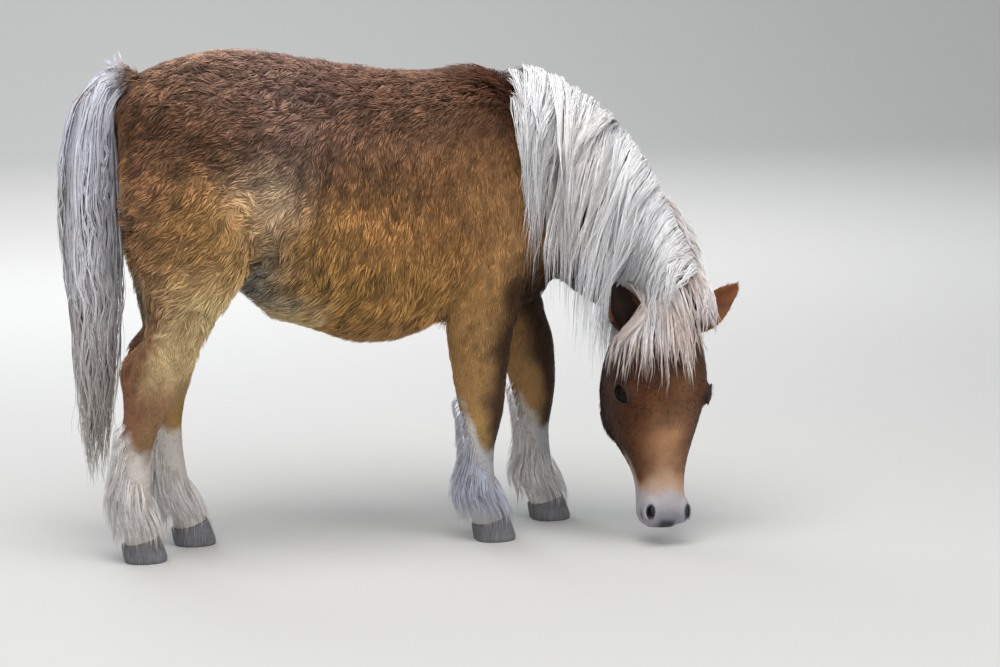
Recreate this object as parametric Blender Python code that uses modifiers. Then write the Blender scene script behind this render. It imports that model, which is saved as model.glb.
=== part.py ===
# Shetland pony, a still life-size model in a grazing stance, for Blender 4.5.
# Metres, +Z up. The pony faces +X, its left side is +Y, and its hooves stand on Z = 0.
# The body is lofted from named sections, remeshed as one soft form and then parted into its nodes.

import math
import random

import bmesh
import bpy
from mathutils import Matrix, Vector
from mathutils.bvhtree import BVHTree

# Driving sizes, all out to the tips of the winter coat
GAP = 0.0003
PINCH = 0.00005
DEEPEST = 0.06
BODY_VOXEL = 0.007
HEAD_VOXEL = 0.0034
BODY_TRIANGLES = 2900
HEAD_TRIANGLES = 1300
RING_POINTS = 24

# Head: the line down the face, from the poll to the end of the nose, and the way it faces
POLL = Vector((0.655, -0.150, 0.505))
NOSE_END = Vector((0.634, -0.245, 0.044))
FACING = Vector((0.096, -0.995, 0.0))
HEAD_LENGTH = (NOSE_END - POLL).length
HEAD_DOWN = (NOSE_END - POLL).normalized()
HEAD_FRONT = (FACING - HEAD_DOWN * FACING.dot(HEAD_DOWN)).normalized()
HEAD_LEFT = HEAD_FRONT.cross(HEAD_DOWN).normalized()

EYE_RADIUS = 0.0185
EYE_ALONG = 0.192
EYE_SIDE = 0.0855
EYE_BACK = 0.034
NOSTRIL_ALONG = 0.436
NOSTRIL_SIDE = 0.0335
MOUTH_BACK = 0.078
MOUTH_START = 0.395
EAR_WIDTH = 0.060
EAR_THICKNESS = 0.005

MANE_LENGTH = 0.42
MANE_FALL = Vector((-0.40, 0.0, -1.0)).normalized()
FORELOCK_LENGTH = 0.215
TAIL_END = 0.165

HOOF_HEIGHT = 0.052
HOOF_LENGTH = 0.088
HOOF_WIDTH = 0.080

# Trunk sections: x, top, bottom, half width, height of the widest place as a share of the depth
TRUNK = [
    (-0.462, 0.905, 0.760, 0.060, 0.50),
    (-0.445, 0.940, 0.700, 0.105, 0.55),
    (-0.415, 0.972, 0.645, 0.145, 0.58),
    (-0.370, 0.996, 0.605, 0.172, 0.60),
    (-0.315, 1.014, 0.580, 0.190, 0.58),
    (-0.260, 1.024, 0.558, 0.200, 0.55),
    (-0.200, 1.025, 0.522, 0.212, 0.50),
    (-0.140, 1.018, 0.471, 0.228, 0.46),
    (-0.060, 1.006, 0.441, 0.243, 0.44),
    (0.010, 0.993, 0.418, 0.249, 0.44),
    (0.080, 0.983, 0.415, 0.243, 0.45),
    (0.140, 0.978, 0.428, 0.228, 0.47),
    (0.200, 0.976, 0.452, 0.207, 0.48),
    (0.260, 0.976, 0.470, 0.190, 0.48),
    (0.320, 0.962, 0.478, 0.176, 0.46),
    (0.370, 0.915, 0.484, 0.160, 0.44),
    (0.410, 0.840, 0.500, 0.135, 0.44),
    (0.437, 0.745, 0.535, 0.095, 0.45),
    (0.448, 0.680, 0.590, 0.045, 0.45),
]

# Neck sections: crest point, throat point, half width
NECK = [
    ((0.200, 0.000, 0.945), (0.370, 0.000, 0.515), 0.150),
    ((0.290, 0.000, 0.962), (0.425, 0.000, 0.520), 0.142),
    ((0.370, 0.000, 0.953), (0.452, 0.000, 0.530), 0.128),
    ((0.452, 0.000, 0.921), (0.472, 0.000, 0.525), 0.114),
    ((0.536, -0.003, 0.874), (0.500, 0.000, 0.505), 0.103),
    ((0.611, -0.012, 0.802), (0.532, 0.004, 0.482), 0.095),
    ((0.668, -0.028, 0.722), (0.564, 0.010, 0.462), 0.089),
    ((0.713, -0.052, 0.645), (0.592, 0.012, 0.445), 0.083),
    ((0.734, -0.086, 0.582), (0.618, 0.010, 0.425), 0.078),
    ((0.716, -0.120, 0.535), (0.630, 0.000, 0.405), 0.072),
]

# Head sections: distance down the face, face line, underside, half width, place of the widest, squareness
HEAD = [
    (-0.012, -0.022, -0.098, 0.042, -0.060, 2.0),
    (0.008, -0.006, -0.125, 0.062, -0.058, 2.1),
    (0.045, 0.008, -0.160, 0.080, -0.056, 2.2),
    (0.095, 0.017, -0.192, 0.096, -0.060, 2.4),
    (0.145, 0.019, -0.212, 0.105, -0.062, 2.5),
    (0.190, 0.013, -0.218, 0.107, -0.070, 2.5),
    (0.235, 0.004, -0.209, 0.099, -0.088, 2.5),
    (0.275, -0.004, -0.184, 0.086, -0.090, 2.5),
    (0.315, -0.007, -0.152, 0.069, -0.078, 2.5),
    (0.350, -0.006, -0.129, 0.057, -0.066, 2.4),
    (0.385, -0.003, -0.116, 0.052, -0.060, 2.3),
    (0.415, 0.000, -0.110, 0.053, -0.055, 2.3),
    (0.440, -0.004, -0.106, 0.054, -0.054, 2.3),
    (0.458, -0.016, -0.098, 0.046, -0.056, 2.2),
    (0.470, -0.034, -0.082, 0.028, -0.058, 2.0),
]

# Hind leg sections: height, back, front, distance of the middle from the body's middle, half width
HIND_LEG = [
    (0.860, -0.440, -0.250, 0.100, 0.075),
    (0.790, -0.476, -0.205, 0.110, 0.100),
    (0.720, -0.478, -0.190, 0.117, 0.106),
    (0.660, -0.458, -0.188, 0.122, 0.100),
    (0.600, -0.438, -0.205, 0.122, 0.088),
    (0.550, -0.430, -0.236, 0.116, 0.074),
    (0.500, -0.424, -0.274, 0.107, 0.061),
    (0.455, -0.430, -0.297, 0.099, 0.050),
    (0.415, -0.470, -0.312, 0.093, 0.045),
    (0.380, -0.477, -0.328, 0.090, 0.044),
    (0.340, -0.472, -0.350, 0.088, 0.043),
    (0.300, -0.472, -0.374, 0.085, 0.039),
    (0.250, -0.480, -0.396, 0.081, 0.036),
    (0.200, -0.484, -0.404, 0.077, 0.036),
    (0.155, -0.488, -0.407, 0.074, 0.040),
    (0.120, -0.490, -0.406, 0.071, 0.043),
    (0.090, -0.484, -0.400, 0.069, 0.043),
    (0.064, -0.474, -0.393, 0.068, 0.042),
    (0.030, -0.474, -0.386, 0.068, 0.041),
]

# Front leg sections, as the hind leg's
FRONT_LEG = [
    (0.720, 0.225, 0.395, 0.108, 0.060),
    (0.640, 0.190, 0.395, 0.114, 0.066),
    (0.560, 0.182, 0.370, 0.112, 0.067),
    (0.500, 0.183, 0.352, 0.106, 0.062),
    (0.450, 0.188, 0.340, 0.100, 0.057),
    (0.405, 0.195, 0.335, 0.094, 0.052),
    (0.360, 0.202, 0.331, 0.088, 0.047),
    (0.310, 0.212, 0.328, 0.083, 0.043),
    (0.275, 0.220, 0.325, 0.080, 0.042),
    (0.240, 0.227, 0.317, 0.077, 0.041),
    (0.205, 0.231, 0.309, 0.074, 0.037),
    (0.170, 0.232, 0.307, 0.071, 0.036),
    (0.140, 0.228, 0.309, 0.068, 0.040),
    (0.110, 0.223, 0.315, 0.066, 0.043),
    (0.085, 0.229, 0.325, 0.064, 0.043),
    (0.060, 0.242, 0.336, 0.063, 0.042),
    (0.030, 0.254, 0.346, 0.062, 0.041),
]

# How far each far-side leg stands ahead of its near-side fellow: height, step, narrowing
HIND_STEP = [(0.86, 0.0, 0.0), (0.60, 0.000, 0.0), (0.50, 0.010, 0.0), (0.42, 0.030, 0.0),
             (0.34, 0.050, 0.004), (0.25, 0.074, 0.008), (0.15, 0.092, 0.012), (0.03, 0.116, 0.014)]
FRONT_STEP = [(0.72, 0.010, 0.0), (0.56, 0.060, 0.0), (0.50, 0.100, 0.0), (0.42, 0.140, -0.004),
              (0.34, 0.158, -0.012), (0.25, 0.160, -0.020), (0.15, 0.168, -0.028), (0.03, 0.164, -0.034)]

# Tail: middle of the hair core, half depth, half width
TAIL_CORE = [
    ((-0.425, 0.0, 0.945), 0.020, 0.024),
    ((-0.462, 0.0, 0.962), 0.026, 0.030),
    ((-0.500, 0.0, 0.940), 0.026, 0.034),
    ((-0.515, 0.0, 0.860), 0.026, 0.036),
    ((-0.521, 0.0, 0.760), 0.027, 0.036),
    ((-0.522, 0.0, 0.650), 0.027, 0.034),
    ((-0.516, 0.0, 0.540), 0.025, 0.031),
    ((-0.514, 0.0, 0.430), 0.020, 0.026),
    ((-0.518, 0.0, 0.330), 0.014, 0.019),
    ((-0.523, 0.0, 0.250), 0.007, 0.010),
]

CHESTNUT = (0.30, 0.135, 0.055, 1.0)
FACE_RED = (0.33, 0.130, 0.050, 1.0)
FLAXEN = (0.66, 0.60, 0.52, 1.0)
STOCKING = (0.74, 0.68, 0.58, 1.0)
EAR_BROWN = (0.17, 0.070, 0.035, 1.0)
EYE_DARK = (0.012, 0.010, 0.012, 1.0)
HORN = (0.21, 0.17, 0.13, 1.0)


def clear_scene():
    for old in list(bpy.data.objects):
        bpy.data.objects.remove(old, do_unlink=True)


def make_collection(name):
    group = bpy.data.collections.new(name)
    bpy.context.scene.collection.children.link(group)
    return group


def make_material(name, colour, roughness):
    material = bpy.data.materials.new(name)
    material.use_nodes = True
    shader = material.node_tree.nodes["Principled BSDF"]
    shader.inputs["Base Color"].default_value = colour
    shader.inputs["Roughness"].default_value = roughness
    shader.inputs["Metallic"].default_value = 0.0
    material.diffuse_color = colour
    return material


def catmull(rows, steps):
    """Rows of numbers read from a smooth curve through the given rows."""
    smooth = []
    last = len(rows) - 1
    for index in range(last):
        before = rows[max(index - 1, 0)]
        start = rows[index]
        end = rows[index + 1]
        after = rows[min(index + 2, last)]
        for step in range(steps):
            t = step / steps
            row = []
            for a, b, c, d in zip(before, start, end, after):
                row.append(0.5 * (2 * b + (c - a) * t + (2 * a - 5 * b + 4 * c - d) * t ** 2
                                  + (3 * b - a - 3 * c + d) * t ** 3))
            smooth.append(tuple(row))
    smooth.append(tuple(rows[last]))
    return smooth


def read_rows(rows, key):
    """The row at a key, straight between the rows on either side; rows are sorted by their first number."""
    ordered = sorted(rows)
    if key <= ordered[0][0]:
        return ordered[0]
    for low, high in zip(ordered, ordered[1:]):
        if key <= high[0]:
            share = (key - low[0]) / (high[0] - low[0])
            return tuple(a + (b - a) * share for a, b in zip(low, high))
    return ordered[-1]


def oval(centre, up, side, rise, drop, half_width, squareness=2.0, points=RING_POINTS):
    """A ring in the plane of up and side, taller above than below where rise and drop differ."""
    ring = []
    power = 2.0 / squareness
    for index in range(points):
        angle = 2 * math.pi * index / points
        across = math.copysign(abs(math.sin(angle)) ** power, math.sin(angle))
        along = math.copysign(abs(math.cos(angle)) ** power, math.cos(angle))
        reach = rise if along > 0 else drop
        ring.append(centre + up * along * reach + side * across * half_width)
    return ring


def mesh_object(name, bm, group):
    bmesh.ops.recalc_face_normals(bm, faces=bm.faces)
    mesh = bpy.data.meshes.new(name)
    bm.to_mesh(mesh)
    bm.free()
    result = bpy.data.objects.new(name, mesh)
    group.objects.link(result)
    return result


def loft(name, rings, group):
    """A closed solid through rings of equal count, split alike on its two sides, with flat ends."""
    bm = bmesh.new()
    rows = [[bm.verts.new(point) for point in ring] for ring in rings]
    count = len(rows[0])
    for low, high in zip(rows, rows[1:]):
        for index in range(count):
            after = (index + 1) % count
            if index < count / 2:
                bm.faces.new((low[index], low[after], high[after]))
                bm.faces.new((low[index], high[after], high[index]))
            else:
                bm.faces.new((low[index], low[after], high[index]))
                bm.faces.new((low[after], high[after], high[index]))
    ends = [bm.faces.new(rows[0]), bm.faces.new(rows[-1])]
    bmesh.ops.triangulate(bm, faces=ends)
    return mesh_object(name, bm, group)


def ball(name, centre, radii, group, frame=None, segments=16, rings=10):
    """An ellipsoid; frame gives its three axes as columns."""
    bm = bmesh.new()
    bmesh.ops.create_uvsphere(bm, u_segments=segments, v_segments=rings, radius=1.0)
    turn = frame.to_4x4() if frame else Matrix.Identity(4)
    place = Matrix.Translation(centre) @ turn @ Matrix.Diagonal((*radii, 1.0))
    bmesh.ops.transform(bm, matrix=place, verts=bm.verts)
    return mesh_object(name, bm, group)


def box(name, centre, size, group, frame=None):
    bm = bmesh.new()
    bmesh.ops.create_cube(bm, size=1.0)
    turn = frame.to_4x4() if frame else Matrix.Identity(4)
    place = Matrix.Translation(centre) @ turn @ Matrix.Diagonal((*size, 1.0))
    bmesh.ops.transform(bm, matrix=place, verts=bm.verts)
    return mesh_object(name, bm, group)


def apply_modifier(target, modifier):
    with bpy.context.temp_override(object=target, active_object=target, selected_objects=[target]):
        bpy.ops.object.modifier_apply(modifier=modifier.name)


def boolean(target, other, operation, keep=False):
    modifier = target.modifiers.new("boolean", "BOOLEAN")
    modifier.operation = operation
    modifier.object = other
    modifier.solver = "MANIFOLD"
    apply_modifier(target, modifier)
    settle(target)
    if not keep:
        remove_object(other)


def settle(target):
    """Puts the faces in a fixed order, so that every run gives the same mesh."""
    mesh = target.data
    points = [vertex.co.copy() for vertex in mesh.vertices]
    faces = []
    for polygon in mesh.polygons:
        corners = list(polygon.vertices)
        first = corners.index(min(corners))
        faces.append(tuple(corners[first:] + corners[:first]))
    mesh.clear_geometry()
    mesh.from_pydata(points, [], sorted(faces))


def fuse(target, pieces_group):
    """Adds every closed mesh in a collection to the target, one by one, and removes the collection."""
    for piece in list(pieces_group.objects):
        boolean(target, piece, "UNION")
    bpy.data.collections.remove(pieces_group)
    keep_largest(target)
    open_pinches(target)


def open_pinches(target):
    """Draws the surface apart wherever it touches itself along an edge that four faces share."""
    bm = bmesh.new()
    bm.from_mesh(target.data)
    bmesh.ops.triangulate(bm, faces=bm.faces)
    for edge in [edge for edge in bm.edges if len(edge.link_faces) == 4]:
        if not edge.is_valid or len(edge.link_faces) != 4:
            continue
        first, second = edge.verts
        along = (second.co - first.co).normalized()
        spread = []
        for face in edge.link_faces:
            corner = next(vert for vert in face.verts if vert not in edge.verts)
            reach = corner.co - first.co
            spread.append(((reach - along * reach.dot(along)).normalized(), face))
        start = spread[0][0]
        turned = along.cross(start)
        spread.sort(key=lambda item: math.atan2(item[0].dot(turned), item[0].dot(start)) % (2 * math.pi))
        pairs = [(spread[index], spread[(index + 1) % 4]) for index in range(4)]
        low, high = max(pairs, key=lambda pair: pair[0][0].dot(pair[1][0]))
        if set(low[1].verts) == set(high[1].verts):
            bmesh.ops.delete(bm, geom=[low[1], high[1]], context="FACES")
            continue
        middle = bm.verts.new((first.co + second.co) / 2 + (low[0] + high[0]).normalized() * PINCH)
        for _, face in (low, high):
            corners = [loop.vert for loop in face.loops]
            bm.faces.remove(face)
            for end in (first, second):
                bm.faces.new([middle if corner is end else corner for corner in corners])
    bm.to_mesh(target.data)
    bm.free()


def trim_locks(pieces_group, neighbours):
    """Cuts each lock clear of the neighbouring nodes, and drops one that can't be cut clear."""
    for piece in list(pieces_group.objects):
        for node, clear in neighbours:
            if not crosses(piece, clear):
                continue
            boolean(piece, clear, "DIFFERENCE", keep=True)
            if piece.data.polygons:
                keep_largest(piece)
            if not piece.data.polygons or crosses(piece, node):
                remove_object(piece)
                break


def crosses(first, second):
    trees = surface_tree([first, second])
    if trees[0].overlap(trees[1]):
        return True
    near, normal, _, _ = trees[1].find_nearest(first.data.vertices[0].co)
    return (first.data.vertices[0].co - near).dot(normal) < 0


def remove_object(obj):
    bpy.data.objects.remove(obj, do_unlink=True)


def copy_object(obj, name, group):
    twin = obj.copy()
    twin.data = obj.data.copy()
    twin.name = name
    group.objects.link(twin)
    return twin


def keep_largest(obj):
    """Drops every closed surface but the largest."""
    bm = bmesh.new()
    bm.from_mesh(obj.data)
    bm.faces.ensure_lookup_table()
    seen = set()
    islands = []
    for face in bm.faces:
        if face.index in seen:
            continue
        stack = [face]
        seen.add(face.index)
        island = []
        while stack:
            here = stack.pop()
            island.append(here)
            for edge in here.edges:
                for near in edge.link_faces:
                    if near.index not in seen:
                        seen.add(near.index)
                        stack.append(near)
        islands.append(island)
    islands.sort(key=lambda faces: sum(face.calc_area() for face in faces), reverse=True)
    loose = [face for island in islands[1:] for face in island]
    if loose:
        bmesh.ops.delete(bm, geom=loose, context="FACES")
    bm.to_mesh(obj.data)
    bm.free()


def remesh(obj, voxel, smoothing, triangles):
    """One closed skin over all the solids in the object, smoothed and brought down to a triangle count."""
    shell = obj.modifiers.new("remesh", "REMESH")
    shell.mode = "VOXEL"
    shell.voxel_size = voxel
    apply_modifier(obj, shell)
    soften = obj.modifiers.new("soften", "SMOOTH")
    soften.factor = 0.5
    soften.iterations = smoothing
    apply_modifier(obj, soften)
    obj.data.calc_loop_triangles()
    thin = obj.modifiers.new("thin", "DECIMATE")
    thin.ratio = triangles / len(obj.data.loop_triangles)
    apply_modifier(obj, thin)
    keep_largest(obj)


def join(name, pieces):
    """Joins meshes into the first one, without fusing them."""
    bm = bmesh.new()
    for piece in pieces:
        bm.from_mesh(piece.data)
    keeper = pieces[0]
    bm.to_mesh(keeper.data)
    bm.free()
    keeper.name = name
    for piece in pieces[1:]:
        remove_object(piece)
    return keeper


def grown(obj, group, amount=GAP * 1.6):
    """A copy pushed out along its normals, used to keep another node clear."""
    twin = copy_object(obj, obj.name + "_grown", group)
    push = twin.modifiers.new("push", "DISPLACE")
    push.strength = amount
    push.mid_level = 0.0
    apply_modifier(twin, push)
    return twin


def head_point(along, side, front):
    return POLL + HEAD_DOWN * along + HEAD_LEFT * side + HEAD_FRONT * front


# Body

def trunk_loft(group):
    rings = []
    for x, top, bottom, half_width, widest in catmull(TRUNK, 3):
        middle = bottom + (top - bottom) * widest
        centre = Vector((x, 0.0, middle))
        rings.append(oval(centre, Vector((0, 0, 1)), Vector((0, 1, 0)), top - middle, middle - bottom,
                          half_width, 2.15))
    return loft("trunk", rings, group)


def neck_sections():
    rows = [(*crest, *throat, half_width) for crest, throat, half_width in NECK]
    return [(Vector(row[0:3]), Vector(row[3:6]), row[6]) for row in catmull(rows, 3)]


def neck_loft(group):
    sections = neck_sections()
    middles = [(crest + throat) / 2 for crest, throat, _ in sections]
    rings = []
    for index, (crest, throat, half_width) in enumerate(sections):
        ahead = middles[min(index + 1, len(middles) - 1)] - middles[max(index - 1, 0)]
        up = (crest - throat).normalized()
        side = up.cross(ahead).normalized()
        reach = (crest - throat).length / 2
        rings.append(oval(middles[index], up, side, reach, reach, half_width, 2.1))
    return loft("neck", rings, group)


def far_leg(rows, steps):
    """The rows of the leg on the far side, which stands further ahead."""
    moved = []
    for height, back, front, apart, half_width in rows:
        _, step, narrower = read_rows(steps, height)
        moved.append((height, back + step, front + step, apart - narrower, half_width))
    return moved


def leg_loft(name, rows, side_sign, group):
    rings = []
    for height, back, front, apart, half_width in catmull(rows, 2):
        centre = Vector(((back + front) / 2, side_sign * apart, height))
        reach = (front - back) / 2
        rings.append(oval(centre, Vector((1, 0, 0)), Vector((0, 1, 0)), reach, reach, half_width, 2.15, 20))
    return loft(name, rings, group)


def leg_table():
    return {
        "hind_right": (HIND_LEG, -1),
        "hind_left": (far_leg(HIND_LEG, HIND_STEP), 1),
        "front_right": (FRONT_LEG, -1),
        "front_left": (far_leg(FRONT_LEG, FRONT_STEP), 1),
    }


def body_loft(group):
    """Trunk, neck and legs as one soft skin."""
    pieces = [trunk_loft(group), neck_loft(group)]
    for name, (rows, side_sign) in leg_table().items():
        pieces.append(leg_loft(name, rows, side_sign, group))
    body = join("body", pieces)
    remesh(body, BODY_VOXEL, 6, BODY_TRIANGLES)
    return body


def prism(name, outline, low, high, group, axis="Y"):
    """A flat outline of (x, z) pairs drawn out along Y, or of (y, z) pairs along X."""
    bm = bmesh.new()
    ends = []
    for depth in (low, high):
        if axis == "Y":
            ends.append([bm.verts.new((a, depth, b)) for a, b in outline])
        else:
            ends.append([bm.verts.new((depth, a, b)) for a, b in outline])
    count = len(outline)
    for index in range(count):
        after = (index + 1) % count
        bm.faces.new((ends[0][index], ends[0][after], ends[1][after], ends[1][index]))
    bm.faces.new(ends[0])
    bm.faces.new(ends[1])
    return mesh_object(name, bm, group)


def part_off(body, region, name, group):
    """Cuts the part inside a region off the body, with a thin gap between the two."""
    inner = copy_object(body, name, group)
    boolean(inner, region, "INTERSECT", keep=True)
    keep_largest(inner)
    outer = grown(region, group, GAP)
    remove_object(region)
    boolean(body, outer, "DIFFERENCE")
    keep_largest(body)
    return inner


def leg_region(name, x_low, x_high, side_sign, height, slope, group):
    """The space of one leg: under a plane that rises outward from the body's middle."""
    inner = side_sign * GAP
    outer = side_sign * 0.35
    outline = [(inner, -0.05), (outer, -0.05), (outer, height + slope * 0.35), (inner, height)]
    return prism(name + "_region", outline, x_low, x_high, group, axis="X")


def neck_region(group):
    outline = [(0.300, 1.20), (0.300, 0.985), (0.455, 0.545), (0.540, 0.30), (1.10, 0.30), (1.10, 1.20)]
    return prism("neck_region", outline, -0.4, 0.4, group)


# Hooves

def hoof_solid(name, rows, side_sign, group):
    """A blunt slanted cone under the leg, with a flat sole on the floor."""
    _, back, front, apart, _ = read_rows(rows, 0.03)
    middle = (back + front) / 2
    rings = []
    sizes = [(0.0, 1.0, 0.0), (0.006, 1.01, 0.0), (0.030, 0.94, -0.006), (HOOF_HEIGHT + 0.02, 0.84, -0.014)]
    for height, share, lean in sizes:
        centre = Vector((middle + lean + 0.004, side_sign * apart, height))
        reach = HOOF_LENGTH / 2 * share
        rings.append(oval(centre, Vector((1, 0, 0)), Vector((0, 1, 0)), reach, reach * 0.96,
                          HOOF_WIDTH / 2 * share, 2.3, 16))
    hoof = loft(name, rings, group)
    return hoof


def coronet_cutter(rows, side_sign, group):
    """Everything above the sloping line where the horn meets the hair."""
    _, back, front, apart, _ = read_rows(rows, 0.03)
    middle = Vector(((back + front) / 2, side_sign * apart, 0.040))
    tilt = Matrix.Rotation(math.radians(-17), 3, "Y")
    size = Vector((0.90, 0.60, 1.20))
    return box("above", middle + tilt @ Vector((0, 0, size.z / 2)), size, group, tilt)


# Head

def head_loft(group):
    rings = []
    for along, face, under, half_width, widest, square in catmull(HEAD, 3):
        centre = head_point(along, 0.0, widest)
        rings.append(oval(centre, HEAD_FRONT, HEAD_LEFT, face - widest, widest - under, half_width, square))
    return loft("head", rings, group)


def head_frame():
    return Matrix((HEAD_LEFT, HEAD_FRONT, HEAD_DOWN)).transposed()


def eye_centre(side_sign):
    return head_point(EYE_ALONG, side_sign * EYE_SIDE, -EYE_BACK)


def eye_out(side_sign):
    return (HEAD_LEFT * side_sign * 0.80 + HEAD_FRONT * 0.56 - HEAD_DOWN * 0.05).normalized()


def arc_tube(name, centre, across, lift, radius_a, radius_b, thick, start, end, group):
    """A bent, tapering bar on part of an ellipse, such as an eyelid or the rim of a nostril."""
    out = across.cross(lift).normalized()
    rings = []
    steps = 6
    for index in range(steps + 1):
        angle = start + (end - start) * index / steps
        spot = centre + across * math.cos(angle) * radius_a + lift * math.sin(angle) * radius_b
        ahead = (lift * math.cos(angle) * radius_b - across * math.sin(angle) * radius_a).normalized()
        girth = thick * (0.45 + 0.55 * math.sin(math.pi * index / steps))
        rings.append(oval(spot, out, ahead.cross(out), girth, girth, girth, 2.0, 6))
    return loft(name, rings, group)


def head_solid(group):
    frame = head_frame()
    pieces = [head_loft(group)]
    for side_sign in (-1, 1):
        brow = head_point(EYE_ALONG - 0.016, side_sign * (EYE_SIDE - 0.004), -EYE_BACK + 0.006)
        pieces.append(ball("brow", brow, (0.024, 0.024, 0.028), group, frame))
        cheek = head_point(0.225, side_sign * 0.052, -0.135)
        pieces.append(ball("cheek", cheek, (0.042, 0.072, 0.078), group, frame))
        wing = head_point(NOSTRIL_ALONG - 0.006, side_sign * NOSTRIL_SIDE, -0.026)
        pieces.append(ball("nostril_wing", wing, (0.0215, 0.026, 0.030), group, frame))
    lip = head_point(0.452, 0.0, -0.045)
    pieces.append(ball("upper_lip", lip, (0.038, 0.030, 0.022), group, frame))
    chin = head_point(0.438, 0.0, -0.098)
    pieces.append(ball("chin", chin, (0.031, 0.020, 0.028), group, frame))
    head = join("head", pieces)
    remesh(head, HEAD_VOXEL, 5, HEAD_TRIANGLES)

    lids = make_collection("lid_pieces")
    for side_sign in (-1, 1):
        out = eye_out(side_sign)
        lift = (-HEAD_DOWN + out * HEAD_DOWN.dot(out)).normalized()
        across = lift.cross(out).normalized()
        rim = eye_centre(side_sign) + out * EYE_RADIUS * 0.50
        arc_tube("lid_upper", rim, across, lift, 0.0205, 0.0170, 0.0052, -0.15, math.pi + 0.15, lids)
        arc_tube("lid_lower", rim, across, -lift, 0.0200, 0.0155, 0.0042, -0.10, math.pi + 0.10, lids)
    fuse(head, lids)

    for side_sign in (-1, 1):
        socket = ball("socket", eye_centre(side_sign), [EYE_RADIUS + GAP] * 3, group, None, 14, 8)
        boolean(head, socket, "DIFFERENCE")
        hole = head_point(NOSTRIL_ALONG + 0.004, side_sign * (NOSTRIL_SIDE + 0.006), -0.014)
        turn = frame @ Matrix.Rotation(side_sign * math.radians(28), 3, "Y")
        cut = ball("nostril", hole, (0.0085, 0.020, 0.0150), group, turn, 10, 6)
        boolean(head, cut, "DIFFERENCE")
    slot_length = HEAD_LENGTH + 0.03 - MOUTH_START
    slot = head_point(MOUTH_START + slot_length / 2, 0.0, -MOUTH_BACK)
    mouth = box("mouth", slot, (0.16, 0.0016, slot_length), group, frame)
    boolean(head, mouth, "DIFFERENCE")
    keep_largest(head)
    return head


def ear_solid(name, base, tip, opening, head_grown, group):
    """A cupped leaf: a shell rolled in towards its base, pointed at the tip."""
    along = (tip - base).normalized()
    out = (opening - along * opening.dot(along)).normalized()
    side = along.cross(out)
    bm = bmesh.new()
    rows = []
    length_steps = 6
    width_steps = 6
    for row_index in range(length_steps + 1):
        share = row_index / length_steps
        breadth = EAR_WIDTH * math.sin(math.pi * (0.24 + 0.735 * share)) ** 0.72
        roll = 1.25 - 0.55 * share
        row = []
        for column in range(width_steps + 1):
            turn = (2 * column / width_steps - 1) * math.pi / 2 * roll
            radius = breadth / 2
            spot = base + along * share * (tip - base).length
            spot += side * math.sin(turn) * radius + out * (1 - math.cos(turn)) * radius * 0.95
            spot += out * 0.012 * math.sin(math.pi * share * 0.9)
            row.append(bm.verts.new(spot))
        rows.append(row)
    for low, high in zip(rows, rows[1:]):
        for column in range(width_steps):
            bm.faces.new((low[column], low[column + 1], high[column + 1], high[column]))
    ear = mesh_object(name, bm, group)
    shell = ear.modifiers.new("shell", "SOLIDIFY")
    shell.thickness = EAR_THICKNESS
    shell.offset = 0.0
    apply_modifier(ear, shell)
    plug = ball("plug", base + along * 0.006, (EAR_WIDTH * 0.36,) * 3, group, None, 14, 8)
    boolean(ear, plug, "UNION")
    boolean(ear, head_grown, "DIFFERENCE", keep=True)
    keep_largest(ear)
    open_pinches(ear)
    return ear


# Hair locks

def drape(root, start, length, stations, clearance, pull, trees, droop=Vector((0, 0, -1))):
    """Points of a lock that sets out along start, is pulled to hang and slides over the body."""
    points = [root.copy()]
    normals = []
    away = trees[0].find_nearest(root)[1]
    heading = start.normalized()
    step = length / (stations - 1)
    spot = root.copy()
    for index in range(1, stations):
        share = index / (stations - 1)
        spot = spot + heading * step
        keep_off = clearance * min(1.0, share * 4.0)
        for tree in trees:
            near, normal, _, distance = tree.find_nearest(spot)
            inside = distance < DEEPEST and (spot - near).dot(normal) < 0
            if inside or distance < keep_off:
                spot = near + normal * keep_off
                away = normal
        heading = (spot - points[-1]).normalized()
        heading = (heading * (1 - pull) + droop * pull).normalized()
        normals.append(away)
        points.append(spot.copy())
    normals.append(away)
    return points, normals


def lock(name, points, faces_out, width, thickness, group):
    """A flat tapered lock: a thin four-sided band through its points, ending in a fine tip."""
    rings = []
    last = len(points) - 1
    before = None
    for index, spot in enumerate(points):
        ahead = points[min(index + 1, last)] - points[max(index - 1, 0)]
        ahead.normalize()
        side = ahead.cross(faces_out[index])
        if side.length < 0.3 and before:
            side = before - ahead * before.dot(ahead)
        side.normalize()
        if before and side.dot(before) < 0:
            side.negate()
        before = side
        out = side.cross(ahead).normalized()
        share = index / last
        swell = math.sin(math.pi * min(0.11 + share * 0.70, 1.0)) ** 0.8
        half = width / 2 * max(swell * (1 - share ** 3 * 0.9), 0.05)
        thick = thickness / 2 * (1 - 0.7 * share)
        rings.append([spot + side * half + out * thick, spot - side * half + out * thick,
                      spot - side * half - out * thick, spot + side * half - out * thick])
    return loft(name, rings, group)


def surface_tree(objects):
    trees = []
    for obj in objects:
        bm = bmesh.new()
        bm.from_mesh(obj.data)
        trees.append(BVHTree.FromBMesh(bm))
        bm.free()
    return trees


def crest_at(sections, share):
    place = share * (len(sections) - 1)
    index = min(int(place), len(sections) - 2)
    part = place - index
    crest = sections[index][0].lerp(sections[index + 1][0], part)
    throat = sections[index][1].lerp(sections[index + 1][1], part)
    ahead = sections[index + 1][0] - sections[index][0]
    return crest, (crest - throat).normalized(), ahead.normalized()


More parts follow.
